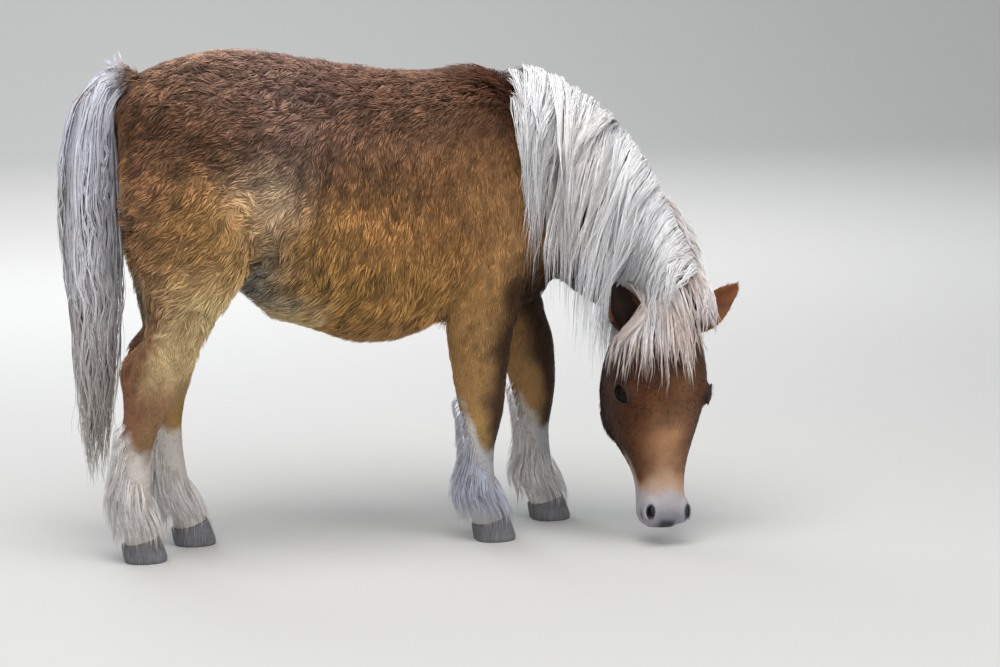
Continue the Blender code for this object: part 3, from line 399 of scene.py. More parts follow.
def headPiece():
    bm = bmesh.new()
    inset = head["coatDepth"]
    rings = []
    for along, face, under, half, widest, square in smoothRows(head["sections"], 3):
        rings.append(ovalRing(headPoint(along, 0, widest), headFront, headLeft, face - widest - inset,
                              widest - under - inset, half - inset, square, 40))
    addLoft(bm, rings)
    for side in (-1, 1):
        addBall(bm, headPoint(head["eyeAlong"] - 0.016, side * (head["eyeSide"] - 0.014), -head["eyeBack"] + 0.006),
                (0.024, 0.024, 0.036), headTurn)  # brow over the eye
        addBall(bm, eyeCentre(side), [head["eyeRadius"] + head["lid"]] * 3)
        addBall(bm, headPoint(0.215, side * 0.052, -0.135), (0.038, 0.068, 0.076), headTurn)  # round cheek
        addBall(bm, headPoint(0.262, side * 0.0655, -0.042), (0.0075, 0.010, 0.062),
                headTurn @ Matrix.Rotation(side * -0.23, 3, "Y"))  # ridge under the eye
        addBall(bm, headPoint(head["nostrilAlong"] - 0.004, side * (head["nostrilSide"] - 0.006), -0.028),
                (0.018, 0.022, 0.030), headTurn)
    addBall(bm, headPoint(0.450, 0, -0.043), (0.039, 0.029, 0.021), headTurn)  # upper lip
    addBall(bm, headPoint(0.436, 0, -0.096), (0.029, 0.018, 0.026), headTurn)  # chin
    skull = meshObject("skull", bm)
    voxelSkin(skull, 0.0032, 13)
    joinMeshes(skull, [earPiece("right"), earPiece("left")])
    voxelSkin(skull, head["voxel"], 4)

    cut = bmesh.new()
    for side in (-1, 1):
        addBall(cut, eyeCentre(side), [head["eyeRadius"] + 0.0004] * 3, None, 48, 30)
    combine(skull, meshObject("eyeRoom", cut), "DIFFERENCE")
    cut = bmesh.new()
    for side in (-1, 1):
        out, lift, long = eyeFrame(side)
        rings = []
        for reach, size in ((0.35, 0.80), (0.9, 0.97), (1.15, 1.08), (1.6, 1.5)):  # the almond opening between the lids
            ring = []
            for i in range(28):
                angle = 2 * math.pi * i / 28
                high = head["opening"][1] if angle < math.pi else head["opening"][2]
                rise = math.copysign(abs(math.sin(angle)) ** 1.3, math.sin(angle)) * high
                ring.append(eyeCentre(side) + out * head["eyeRadius"] * reach
                            + (long * math.cos(angle) * head["opening"][0] + lift * rise) * size)
            rings.append(ring)
        addLoft(cut, rings)
    combine(skull, meshObject("eyeCut", cut), "DIFFERENCE")
    cut = bmesh.new()
    for side in (-1, 1):
        face = (headLeft * side * 0.60 + headFront * 0.80).normalized()
        wing = (headLeft * side - face * (headLeft * side).dot(face)).normalized()
        rings = []
        for deep, size in ((-0.026, 0.35), (-0.012, 0.80), (0.000, 1.0), (0.010, 1.25)):
            ring = []
            for i in range(24):  # a comma: a slit that turns in and widens at its lower end
                angle = 2 * math.pi * i / 24
                along = math.cos(angle) * 0.0155
                wide = 0.0046 + 0.0028 * math.cos(angle)
                bend = 0.0070 * (1 - (along / 0.0155) ** 2) - 0.0035
                ring.append(headPoint(head["nostrilAlong"], side * head["nostrilSide"], -0.0125) + face * deep
                            + (headDown * along + wing * (bend + math.sin(angle) * wide)) * size)
            rings.append(ring)
        addLoft(cut, rings)
    combine(skull, meshObject("nostrilCut", cut), "DIFFERENCE")
    slot = bmesh.new()  # the mouth, a slit that bends up at its corners
    rings = []
    for i in range(13):
        across = (i / 12 - 0.5) * 2
        ring = []
        for along, front in ((0.402, -0.0010), (0.492, -0.0010), (0.492, 0.0010), (0.402, 0.0010)):
            ring.append(headPoint(along, across * 0.075, -0.0775 - 0.010 * across ** 2 + front - 0.10 * (0.46 - along)))
        rings.append(ring)
    addLoft(slot, rings)
    combine(skull, meshObject("mouth", slot), "DIFFERENCE")

    lids = bmesh.new()
    for side in (-1, 1):
        out, lift, long = eyeFrame(side)
        rim = eyeCentre(side) + out * head["eyeRadius"] * 0.80
        wide, high, low = head["opening"]
        addLoft(lids, arcRing(rim, long, lift, wide, high + 0.0008, 0.0021, -0.05, math.pi + 0.05))
        addLoft(lids, arcRing(rim, long, lift, wide, low + 0.0010, 0.0020, math.pi - 0.05, 2 * math.pi + 0.05))
        face = (headLeft * side * 0.60 + headFront * 0.80).normalized()
        wing = (headLeft * side - face * (headLeft * side).dot(face)).normalized()
        nostril = headPoint(head["nostrilAlong"], side * head["nostrilSide"], -0.0135) + face * 0.0015
        addLoft(lids, arcRing(nostril, headDown, wing, 0.0175, 0.0122, 0.0030, 0.3, math.pi - 0.3))
        addLoft(lids, arcRing(nostril, headDown, wing, 0.0160, 0.0072, 0.0022, math.pi + 0.3, 2 * math.pi - 0.3))
    lidPiece = meshObject("lids", lids)
    voxelSkin(lidPiece, 0.0009, 3)
    combine(skull, lidPiece, "UNION")
    return skull


dock = {  # the tail's own flesh: middle x, height, half depth, half width
    "sections": [(-0.400, 0.935, 0.030, 0.034), (-0.440, 0.958, 0.027, 0.030), (-0.474, 0.957, 0.022, 0.026),
                 (-0.500, 0.930, 0.019, 0.023), (-0.512, 0.880, 0.017, 0.020), (-0.519, 0.800, 0.014, 0.016),
                 (-0.521, 0.720, 0.010, 0.011), (-0.521, 0.680, 0.004, 0.005)],
}


def dockPiece():
    bm = bmesh.new()
    rows = smoothRows(dock["sections"], 3)
    rings = []
    for i, (x, z, deep, half) in enumerate(rows):
        ahead = Vector((rows[min(i + 1, len(rows) - 1)][0] - rows[max(i - 1, 0)][0], 0,
                        rows[min(i + 1, len(rows) - 1)][1] - rows[max(i - 1, 0)][1])).normalized()
        rings.append(ovalRing(Vector((x, 0, z)), Vector((0, 1, 0)).cross(ahead), Vector((0, 1, 0)), deep, deep, half))
    addLoft(bm, rings)
    piece = meshObject("dock", bm)
    voxelSkin(piece, 0.004, 3)
    return piece


skin = bodyPiece()
combine(skin, headPiece(), "UNION")
combine(skin, dockPiece(), "UNION")
thinTo(skin, 180000)
skin.name = skin.data.name = "skin"
print("skin", len(skin.data.polygons), "faces")

# ---- where a point is on the body, and what colour, lie and length its coat has

neckRows = [(Vector(r[0:3]), Vector(r[3:6]), r[6]) for r in smoothRows(neck["sections"], 3)]
headAxes = np.array([headDown, headLeft, headFront])
faceLine = np.array([(r[0], r[1], r[2], r[3]) for r in smoothRows(head["sections"], 3)])


def headPlace(p):  # distance down the face, to the left, to the front
    return (p - np.array(poll)) @ headAxes.T


def headShare(p):  # 1 on the head, 0 on the neck and body
    a, s, f = headPlace(p).T
    under = np.interp(a, faceLine[:, 0], faceLine[:, 2])
    near = smooth01(a + 0.45 * np.clip(f + 0.08, -0.2, 0.0), -0.02, 0.03) * smooth01(f, under - 0.03, under - 0.005)
    ear = smooth01(-a, -0.02, 0.01) * smooth01(np.abs(s) - 0.02, 0.02, 0.04) * smooth01(f, -0.13, -0.10) * (a > -0.20)
    return np.clip(np.maximum(near, ear) * (np.abs(s) < 0.25) * (a < 0.6), 0, 1)


def earShare(p):
    share = np.zeros(len(p))
    for name in ("right", "left"):
        base, tip = np.array(headPoint(*ears[name][0])), np.array(headPoint(*ears[name][1]))
        along = (tip - base) / np.linalg.norm(tip - base)
        t = (p - base) @ along
        off = np.linalg.norm(p - base - t[:, None] * along, axis=1)
        share = np.maximum(share, smooth01(t, 0.018, 0.030) * (off < 0.045) * (t < 0.16))
    return share


def neckShare(p):
    line = np.array([(c + t) / 2 for c, t, _ in neckRows])
    crest, throat = np.array(neck["sections"][1][0:3]), np.array(neck["sections"][1][3:6])
    wall = (p[:, 0] - crest[0]) - (throat[0] - crest[0]) * (crest[2] - p[:, 2]) / (crest[2] - throat[2])
    return smooth01(wall, 0.03, 0.12)


def crestAt(share):
    place = share * (len(neckRows) - 1)
    i = min(int(place), len(neckRows) - 2)
    t = place - i
    crest = neckRows[i][0].lerp(neckRows[i + 1][0], t)
    throat = neckRows[i][1].lerp(neckRows[i + 1][1], t)
    return crest, (crest - throat).normalized(), (neckRows[i + 1][0] - neckRows[i][0]).normalized()


def nearestLeg(p):
    best = np.full(len(p), 9.0)
    front = np.zeros(len(p))
    ahead = np.zeros(len(p))
    for name, (rows, side) in legRows.items():
        table = np.array(sorted(rows))
        middle = np.interp(p[:, 2], table[:, 0], (table[:, 1] + table[:, 2]) / 2)
        reach = np.interp(p[:, 2], table[:, 0], (table[:, 2] - table[:, 1]) / 2)
        apart = np.interp(p[:, 2], table[:, 0], table[:, 3]) * side
        off = np.hypot(p[:, 0] - middle, p[:, 1] - apart)
        closer = off < best
        best = np.where(closer, off, best)
        front = np.where(closer, 1.0 if name.startswith("front") else 0.0, front)
        ahead = np.where(closer, (p[:, 0] - middle) / np.maximum(reach, 0.01), ahead)
    return front, ahead


coat = {  # colours in linear light
    "back": (0.310, 0.185, 0.145), "croup": (0.500, 0.305, 0.212), "croupSide": (0.185, 0.080, 0.034),
    "dockHair": (0.620, 0.600, 0.640), "flankDark": (0.110, 0.050, 0.022), "ribsHigh": (0.180, 0.079, 0.031), "ribs": (0.495, 0.245, 0.084), "belly": (0.655, 0.375, 0.105),
    "withers": (0.062, 0.014, 0.002), "shoulder": (0.270, 0.118, 0.038), "chest": (0.600, 0.330, 0.140),
    "buttock": (0.370, 0.190, 0.092), "flank": (0.800, 0.610, 0.420), "thigh": (0.610, 0.335, 0.110),
    "gaskin": (0.860, 0.640, 0.340), "hock": (0.340, 0.150, 0.078), "groin": (0.400, 0.380, 0.320),
    "stocking": (0.900, 0.830, 0.770), "forearm": (0.520, 0.285, 0.105), "forearmDark": (0.050, 0.020, 0.008),
    "neckBrown": (0.190, 0.080, 0.032), "crestHair": (0.420, 0.330, 0.280),
    # the cheek colour is painted shade, darkening the sides of the head
    "forehead": (0.066, 0.018, 0.001), "cheek": (0.036, 0.011, 0.002), "noseBridge": (0.265, 0.134, 0.066),
    "eyeRing": (0.024, 0.011, 0.008), "jaw": (0.055, 0.026, 0.014), "snip": (0.340, 0.318, 0.330),
    "snipEdge": (0.400, 0.275, 0.190), "muzzleGrey": (0.200, 0.200, 0.250), "lip": (0.022, 0.021, 0.024),
    # the colour inside the ear's cup is painted shade
    "earBack": (0.300, 0.098, 0.024), "earCupShade": (0.032, 0.012, 0.006), "earRim": (0.240, 0.080, 0.030),
}
# x, height, reach, colour: broad soft patches over the flanks, the same on both sides
patches = [(-0.10, 1.02, 0.14, "back"), (0.10, 0.99, 0.15, "back"), (-0.28, 1.04, 0.12, "croup"), (-0.36, 0.90, 0.11, "croupSide"),
           (-0.26, 0.88, 0.08, "croupSide"), (-0.43, 0.78, 0.08, "buttock"), (-0.44, 0.66, 0.08, "buttock"),
           (-0.15, 0.92, 0.10, "back"), (0.02, 0.88, 0.13, "ribsHigh"), (0.12, 0.86, 0.11, "ribsHigh"), (0.10, 0.70, 0.14, "ribs"),
           (-0.02, 0.66, 0.10, "ribs"), (0.02, 0.50, 0.14, "belly"), (0.18, 0.47, 0.12, "belly"), (-0.19, 0.735, 0.072, "flank"),
           (-0.08, 0.60, 0.09, "belly"), (-0.33, 0.66, 0.09, "thigh"), (-0.275, 0.70, 0.07, "thigh"), (-0.31, 0.54, 0.08, "gaskin"),
           (-0.265, 0.81, 0.055, "flankDark"), (-0.20, 0.88, 0.05, "flankDark"), (0.30, 0.95, 0.10, "withers"), (0.40, 0.86, 0.10, "withers"),
           (0.25, 0.82, 0.10, "shoulder"), (0.32, 0.68, 0.11, "chest"), (0.22, 0.66, 0.08, "ribs"), (0.24, 0.52, 0.09, "forearm"),
           (0.42, 0.52, 0.08, "forearmDark"), (-0.40, 0.50, 0.07, "buttock")]


def paint(base, colour, share):
    return base + (np.array(coat[colour]) - base) * np.clip(share, 0, 1)[:, None]


def coatColour(p):
    weights = np.array([np.exp(-((p[:, 0] - x) ** 2 + (p[:, 2] - z) ** 2) / reach ** 2) for x, z, reach, _ in patches]) + 1e-6
    colours = np.array([coat[name] for _, _, _, name in patches])
    base = (weights.T @ colours) / weights.sum(0)[:, None]
    x, y, z = p.T
    blotch = waveNoise(p, 38, 3)
    fine = waveNoise(p, 120, 4)
    base = paint(base, "neckBrown", neckShare(p) * smooth01(z, 0.40, 0.50) * 0.9)
    base = paint(base, "withers", smooth01(x, 0.26, 0.34) * smooth01(z + 0.2 * x, 0.90, 1.0) * 0.7)
    rough = 0.12 + 0.10 * smooth01(0.10 - x, 0.0, 0.15)  # the coat is more mottled over the croup and flank
    base = base * (1 + rough * blotch + 0.06 * fine)[:, None]
    base = paint(base, "groin", smooth01(0.12 - np.abs(y), 0.0, 0.05) * smooth01(0.60 - z, 0.0, 0.06) * smooth01(-x, -0.12, 0.05)
                 * smooth01(z, 0.42, 0.50) * 0.8)
    base = paint(base, "dockHair", smooth01(-x, 0.425, 0.450) * smooth01(z, 0.925, 0.945))
    isFront, ahead = nearestLeg(p)
    onLeg = smooth01(0.56 - z, 0.0, 0.10)
    hind, fore = (1 - isFront) * onLeg, isFront * onLeg
    fold = np.exp(-((x + 0.225) / 0.070) ** 2 - ((z - 0.580) / 0.058) ** 2) * 1.6  # the pale thin-haired fold before the thigh
    fold = fold + np.exp(-((x + 0.13) / 0.06) ** 2 - ((z - 0.520) / 0.030) ** 2) * 0.8
    base = paint(base, "groin", fold * smooth01(ahead + 0.1 * blotch, 0.85, 1.15) * (1 - isFront))
    base = paint(base, "gaskin", hind * smooth01(z, 0.32, 0.42) * smooth01(ahead + 0.25 * blotch, -0.85, -0.15) * 0.95)
    back = smooth01(-ahead + 0.2 * blotch, 0.30, 0.80)
    lower = smooth01(0.355 - z, 0.0, 0.05) * smooth01(-ahead + 0.2 * blotch, -0.25, 0.40)
    base = paint(base, "hock", hind * smooth01(0.47 - z, 0.0, 0.06) * smooth01(z, 0.18, 0.24) * np.maximum(back, lower))
    base = paint(base, "forearm", fore * smooth01(z, 0.20, 0.30) * 0.9)
    high = isFront * smooth01(0.64 - z, 0.0, 0.12) * smooth01(x, 0.10, 0.16)
    base = paint(base, "forearmDark", high * smooth01(z, 0.14, 0.22) * smooth01(ahead + 0.25 * blotch, -0.15, 0.65) * 0.95)
    backward = smooth01(-ahead, -0.2, 0.9)  # the white reaches higher behind the leg
    top = np.where(isFront > 0.5, 0.205 + 0.075 * backward, 0.238 + 0.030 * backward) + 0.018 * blotch + 0.010 * fine
    base = paint(base, "stocking", smooth01(top - z, -0.016, 0.020) * (z < 0.5))
    # painted shade below the knees and hocks: patchy, and deeper towards the front of each leg
    shade = smooth01(0.5 + 0.5 * waveNoise(p, 55, 9), 0.5, 1.0) * 0.16 + smooth01(ahead, 0.1, 0.9) * 0.10
    paintedLegShade = 1 - shade[:, None] * np.array([0.9, 1.1, 1.35])
    base = base * np.where((z < 0.30)[:, None], paintedLegShade, 1)
    # painted shade, cool, on the front of the front legs below the knee
    base = base * (1 - (isFront * smooth01(0.27 - z, 0.0, 0.03) * smooth01(ahead, -0.6, 0.3))[:, None] * np.array([0.36, 0.31, 0.22]))
    crest = np.array([crestAt(share)[0] for share in np.linspace(0.10, 1.0, 40)])
    nearCrest = np.min([np.linalg.norm(p - spot, axis=1) for spot in crest], axis=0)
    base = paint(base, "crestHair", smooth01(0.050 - nearCrest, 0.0, 0.030) * neckShare(p))

    a, s, f = headPlace(p).T
    side = np.abs(s)
    face = np.zeros_like(base) + np.array(coat["forehead"])
    # painted shade: the head's sides, back from the face, take the dark cheek colour
    face = paint(face, "cheek", smooth01(-f, 0.05, 0.12))
    bridge = np.exp(-(s / 0.046) ** 2) * smooth01(f, -0.07, -0.02)
    face = paint(face, "noseBridge", bridge * smooth01(a + 0.02 * waveNoise(p, 60, 15), 0.175, 0.285) * 0.95)
    # painted highlight: a lighter patch on the far, left side of the face at eye level, where light falls on it
    face = paint(face, "noseBridge", np.exp(-((a - 0.19) / 0.05) ** 2 - ((s - 0.030) / 0.030) ** 2) * smooth01(f, -0.05, 0.0) * 0.35)
    face = paint(face, "jaw", smooth01(-f, 0.10, 0.17) * 0.8)
    eyeFar = np.min([np.linalg.norm(p - np.array(eyeCentre(k)), axis=1) for k in (-1, 1)], axis=0)
    face = paint(face, "eyeRing", smooth01(0.0280 - eyeFar, 0.0, 0.003) * 0.9)
    face = face * (1 + 0.16 * waveNoise(p, 90, 6) + 0.08 * waveNoise(p, 260, 7))[:, None]
    low = a + 0.045 * smooth01(-f, 0.045, 0.085) + 0.014 * waveNoise(p, 70, 12)
    face = paint(face, "snipEdge", smooth01(low, 0.352, 0.392) * 0.85)
    face = paint(face, "snip", smooth01(low, 0.384, 0.408))
    face = paint(face, "muzzleGrey", smooth01(a, 0.418, 0.450) * smooth01(0.040 - side, 0.0, 0.02) * smooth01(f, -0.07, -0.03) * 0.85)
    sideways = side - head["nostrilSide"]
    comma = np.hypot((a - head["nostrilAlong"]) / 0.024, sideways / 0.012)
    front = smooth01(f, -0.060, -0.040)
    face = paint(face, "muzzleGrey", smooth01(1.25 - comma, 0, 0.5) * front * 0.45)
    comma = np.hypot((a - head["nostrilAlong"]) / 0.0160, (sideways - 0.001) / 0.0085)
    face = paint(face, "lip", smooth01(1.15 - comma, 0, 0.35) * front)
    lipLine = np.abs(f + 0.0785 + 0.10 * (0.46 - a))
    face = paint(face, "lip", smooth01(0.012 - lipLine, 0, 0.008) * smooth01(a, 0.405, 0.43))
    face = paint(face, "lip", smooth01(a, 0.447, 0.462) * smooth01(0.024 - side, 0, 0.014) * 0.95)
    face = paint(face, "lip", smooth01(-f - 0.078, 0.0, 0.01) * smooth01(a, 0.420, 0.45) * 0.8)
    ear = earShare(p)
    face = paint(face, "earBack", ear)
    for name in ("right", "left"):
        base0, tip = np.array(headPoint(*ears[name][0])), np.array(headPoint(*ears[name][1]))
        along = (tip - base0) / np.linalg.norm(tip - base0)
        opening = np.array(ears[name][2]) - along * (np.array(ears[name][2]) @ along)
        opening /= np.linalg.norm(opening)
        t = (p - base0) @ along
        off = (p - base0) @ opening
        cup = np.linalg.norm(p - base0 - t[:, None] * along - off[:, None] * opening, axis=1)
        here = (t > 0.0) * (t < 0.17) * (cup < 0.05) * (np.abs(off) < 0.07)
        # painted shade deepening into the right ear's cup
        depth = smooth01(0.020 - off, 0.0, 0.012)
        face = paint(face, "earCupShade", here * depth * smooth01(t, 0.0, 0.02) * (name == "right"))
    return np.clip(base + (face - base) * headShare(p)[:, None], 0.004, 0.95)


lie = {"flankWhorl": (-0.255, 0.715, 0.060), "faceWhorl": 0.165}


def coatFlow(p, n):
    x, y, z = p.T
    # the hair hangs nearly straight down on the legs and, in front of the flank, on the ribs and shoulder
    down = np.maximum(smooth01(0.62 - z, 0.0, 0.16), 0.85 * smooth01(0.93 - z, 0.0, 0.14) * smooth01(x, -0.22, -0.04))
    flow = np.stack([-0.95 + 0.80 * down, np.zeros(len(p)), -0.42 - 0.75 * down], 1)
    belly = smooth01(-n[:, 2], 0.3, 0.8) * (z > 0.38)
    flow = flow + belly[:, None] * np.array([-0.8, 0, 0])
    isNeck = neckShare(p) * smooth01(z, 0.42, 0.48)
    flow = flow * (1 - isNeck)[:, None] + isNeck[:, None] * np.array([-0.75, 0.0, -0.28])
    swirl = np.stack([waveNoise(p, 30, 21), waveNoise(p, 30, 22), waveNoise(p, 30, 23)], 1)
    flow = flow + swirl * 0.22
    cx, cz, reach = lie["flankWhorl"]
    out = np.stack([x - cx, np.zeros(len(p)), z - cz], 1)
    near = np.exp(-(out ** 2).sum(1) / reach ** 2) * (np.abs(y) > 0.1) * 0.85
    turn = np.cross(n, unit(out))
    flow = flow * (1 - near)[:, None] + near[:, None] * (unit(out) * 0.35 + turn * 0.9 + swirl * 0.45)
    a, s, f = headPlace(p).T
    radial = np.stack([(a - lie["faceWhorl"]) * 1.2 + 0.25 * smooth01(a, 0.2, 0.3), s * 1.4, -np.abs(s) * 0.8], 1)
    radial[:, 0] += 0.30 * smooth01(-f, 0.06, 0.14)
    ear = earShare(p)
    radial = radial * (1 - ear)[:, None] + ear[:, None] * np.stack([-np.ones(len(p)), np.sign(s) * 0.9, np.zeros(len(p))], 1)
    onHead = headShare(p)
    flow = flow * (1 - onHead)[:, None] + (unit(radial) @ headAxes) * onHead[:, None]
    flow = flow - n * (flow * n).sum(1)[:, None]
    return unit(flow)


def topWool(p, n):  # the loose hair that stands on the withers and along the back before the mane
    return np.interp(p[:, 0], [-0.05, 0.20, 0.31, 0.38, 0.44], [0.0, 0.35, 1.0, 0.8, 0.0]) * smooth01(n[:, 2], 0.45, 0.9) * (p[:, 2] > 0.8)


def coatLength(p, n):
    z = p[:, 2]
    length = np.interp(z, [0.03, 0.10, 0.20, 0.30, 0.42, 0.60, 0.80, 1.0], [0.012, 0.015, 0.012, 0.013, 0.020, 0.030, 0.033, 0.036])
    length = length * (1 - 0.25 * smooth01(p[:, 0], 0.05, 0.30) * smooth01(z, 0.40, 0.50))
    belly = smooth01(-n[:, 2], 0.0, 0.7) * (z > 0.40)
    length = length + belly * 0.014 + topWool(p, n) * 0.034
    a, s, f = headPlace(p).T
    onHead = headShare(p)
    face = np.interp(a, [-0.02, 0.06, 0.20, 0.36, 0.42, 0.46], [0.023, 0.020, 0.0165, 0.0150, 0.0060, 0.0036])
    face = face + smooth01(-f, 0.07, 0.18) * np.interp(a, [0.0, 0.25, 0.40], [0.014, 0.011, 0.004])
    face = face * (1 - 0.3 * earShare(p))
    return length * (1 - onHead) + face * onHead


# ---- mesh from arrays, for the many small pieces

def arrayMesh(name, points, faces, colours, uvs, material):
    mesh = bpy.data.meshes.new(name)
    mesh.vertices.add(len(points))
    mesh.vertices.foreach_set("co", (points + np.array(shift)).astype(np.float32).ravel())
    mesh.loops.add(faces.size)
    mesh.loops.foreach_set("vertex_index", faces.astype(np.int32).ravel())
    mesh.polygons.add(len(faces))
    mesh.polygons.foreach_set("loop_start", np.arange(0, faces.size, 3, dtype=np.int32))
    mesh.polygons.foreach_set("use_smooth", np.ones(len(faces), bool))
    mesh.update(calc_edges=True)
    attribute = mesh.color_attributes.new("coat", "FLOAT_COLOR", "POINT")
    attribute.data.foreach_set("color", np.hstack([colours, np.ones((len(colours), 1))]).astype(np.float32).ravel())
    layer = mesh.uv_layers.new(name="OFBake")
    layer.data.foreach_set("uv", uvs[faces.ravel()].astype(np.float32).ravel())
    mesh.materials.append(material)
    obj = bpy.data.objects.new(name, mesh)
    scene.collection.objects.link(obj)
    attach(obj, "root")
    return obj


def strandMesh(name, paths, outs, widths, colours, rootUv, material, flat=0.6):
    # paths: strands x stations x 3, a three-sided tapering band along each
    count, stations = paths.shape[:2]
    ahead = unit(np.gradient(paths, axis=1))
    side = unit(np.cross(ahead, outs))
    out = np.cross(side, ahead)
    body = stations - 1
    ring = np.stack([paths + side * widths[..., None] - out * widths[..., None] * flat * 0.5,
                     paths - side * widths[..., None] - out * widths[..., None] * flat * 0.5,
                     paths + out * widths[..., None] * flat], 2)[:, :body]
    points = np.concatenate([ring.reshape(count, -1, 3), paths[:, -1:]], 1)
    each = body * 3 + 1
    faces = [(0, 1, 2)]
    for k in range(body - 1):
        for j in range(3):
            a, b = k * 3 + j, k * 3 + (j + 1) % 3
            faces += [(a, a + 3, b), (b, a + 3, b + 3)]
    for j in range(3):
        faces.append(((body - 1) * 3 + j, each - 1, (body - 1) * 3 + (j + 1) % 3))
    faces = np.array(faces)
    allFaces = (faces[None] + (np.arange(count) * each)[:, None, None]).reshape(-1, 3)
    tint = np.concatenate([np.repeat(colours[:, :body], 3, axis=1), colours[:, -1:]], 1)
    along = np.concatenate([np.repeat(np.arange(body) / body, 3), [1.0]])
    across = np.concatenate([np.tile([0.0, 1.0, 0.5], body), [0.5]])
    patch = np.stack([across - 0.5, along - 0.5], 1) * 0.003
    uvs = np.clip(rootUv[:, None] + patch[None], 0.001, 0.999)
    return arrayMesh(name, points.reshape(-1, 3), allFaces, tint.reshape(-1, 3), uvs.reshape(-1, 2), material)


# ---- finishes

def newMaterial(name):
    material = bpy.data.materials.new(name)
    material.use_nodes = True
    nodes, links = material.node_tree.nodes, material.node_tree.links
    return material, nodes, links, nodes["Principled BSDF"]


def addNode(nodes, kind, **inputs):
    node = nodes.new(kind)
    for key, value in inputs.items():
        node.inputs[key.replace("_", " ")].default_value = value
    return node


def hairFinish(name, rough, mottle, sheen, bumpScale, stretch=(1, 1, 1)):
    material, nodes, links, shader = newMaterial(name)
    place = nodes.new("ShaderNodeTexCoord")
    stretchNode = nodes.new("ShaderNodeMapping")
    stretchNode.inputs["Scale"].default_value = stretch
    links.new(place.outputs["Object"], stretchNode.inputs["Vector"])
    tint = nodes.new("ShaderNodeAttribute")
    tint.attribute_name = "coat"
    clumps = addNode(nodes, "ShaderNodeTexNoise", Scale=bumpScale, Detail=4.0, Roughness=0.65)
    links.new(stretchNode.outputs["Vector"], clumps.inputs["Vector"])
    range1 = addNode(nodes, "ShaderNodeMapRange", From_Min=0.25, From_Max=0.75, To_Min=1 - mottle, To_Max=1 + mottle)
    links.new(clumps.outputs["Fac"], range1.inputs["Value"])
    scaled = nodes.new("ShaderNodeVectorMath")
    scaled.operation = "SCALE"
    links.new(tint.outputs["Color"], scaled.inputs[0])
    links.new(range1.outputs["Result"], scaled.inputs["Scale"])
    links.new(scaled.outputs["Vector"], shader.inputs["Base Color"])
    range2 = addNode(nodes, "ShaderNodeMapRange", To_Min=rough - 0.10, To_Max=rough + 0.12)
    links.new(clumps.outputs["Fac"], range2.inputs["Value"])
    links.new(range2.outputs["Result"], shader.inputs["Roughness"])
    bump = addNode(nodes, "ShaderNodeBump", Strength=0.35, Distance=0.0008)
    links.new(clumps.outputs["Fac"], bump.inputs["Height"])
    links.new(bump.outputs["Normal"], shader.inputs["Normal"])
    shader.inputs["Specular IOR Level"].default_value = 0.24
    shader.inputs["Sheen Weight"].default_value = sheen
    shader.inputs["Sheen Roughness"].default_value = 0.45
    return material


furFinish = hairFinish("coat fur", 0.62, 0.18, 0.05, 260)
skinFinish = hairFinish("short coat", 0.60, 0.20, 0.05, 420)
longFinish = hairFinish("flaxen hair", 0.48, 0.10, 0.10, 120)

# ---- the skin, its unwrap and its colours

rng = np.random.default_rng(7)
skinPoints = readPoints(skin)
skinNormals = readNormals(skin)
skinTriangles = readTriangles(skin)
corner = skinPoints[skinTriangles]
cross = np.cross(corner[:, 1] - corner[:, 0], corner[:, 2] - corner[:, 0])
faceArea = np.linalg.norm(cross, axis=1) / 2
faceNormal = unit(cross)
faceMiddle = corner.mean(1)
isHeadFace = headShare(faceMiddle) > 0.5


def unwrap():  # each part laid flat from its six sides, packed in rows
    isFront, _ = nearestLeg(faceMiddle)
    isLeg = (faceMiddle[:, 2] < 0.55) & ~isHeadFace & (faceMiddle[:, 0] < 0.50)
    isEar = isHeadFace & (earShare(faceMiddle) > 0.5)
    left = faceMiddle[:, 1] > 0
    part = np.where(isLeg, 1 + isFront.astype(int) * 2 + left, 0)
    part = np.where(isHeadFace, 5, part)
    part = np.where(isEar, 6 + (headPlace(faceMiddle)[:, 1] > 0), part)
    flat = np.where(isHeadFace[:, None, None], headPlace(corner.reshape(-1, 3)).reshape(-1, 3, 3), corner)
    turned = np.where(isHeadFace[:, None], faceNormal @ headAxes.T, faceNormal)
    axis = np.abs(turned).argmax(1)
    sign = (np.take_along_axis(turned, axis[:, None], 1)[:, 0] > 0).astype(int)
    chart = part * 6 + axis * 2 + sign
    boxes = []
    for key in np.unique(chart):
        which = np.where(chart == key)[0]
        keep = [k for k in range(3) if k != (key % 6) // 2]
        spots = flat[which][:, :, keep]
        low = spots.reshape(-1, 2).min(0)
        size = spots.reshape(-1, 2).max(0) - low
        if size[0] < size[1]:
            spots, low, size = spots[:, :, ::-1], low[::-1], size[::-1]
        boxes.append((size, which, spots - low))
    boxes.sort(key=lambda item: -item[0][1])
    scale = 0.75
    while True:
        uv = np.zeros((len(skinTriangles), 3, 2))
        x = y = 0.004
        row = 0.0
        for size, which, spots in boxes:
            if x + size[0] * scale > 0.996:
                x, y, row = 0.004, y + row + 0.004, 0.0
            uv[which] = spots * scale + (x, y)
            x += size[0] * scale + 0.004
            row = max(row, size[1] * scale)
        if y + row < 0.996:
            return uv
        scale *= 0.96


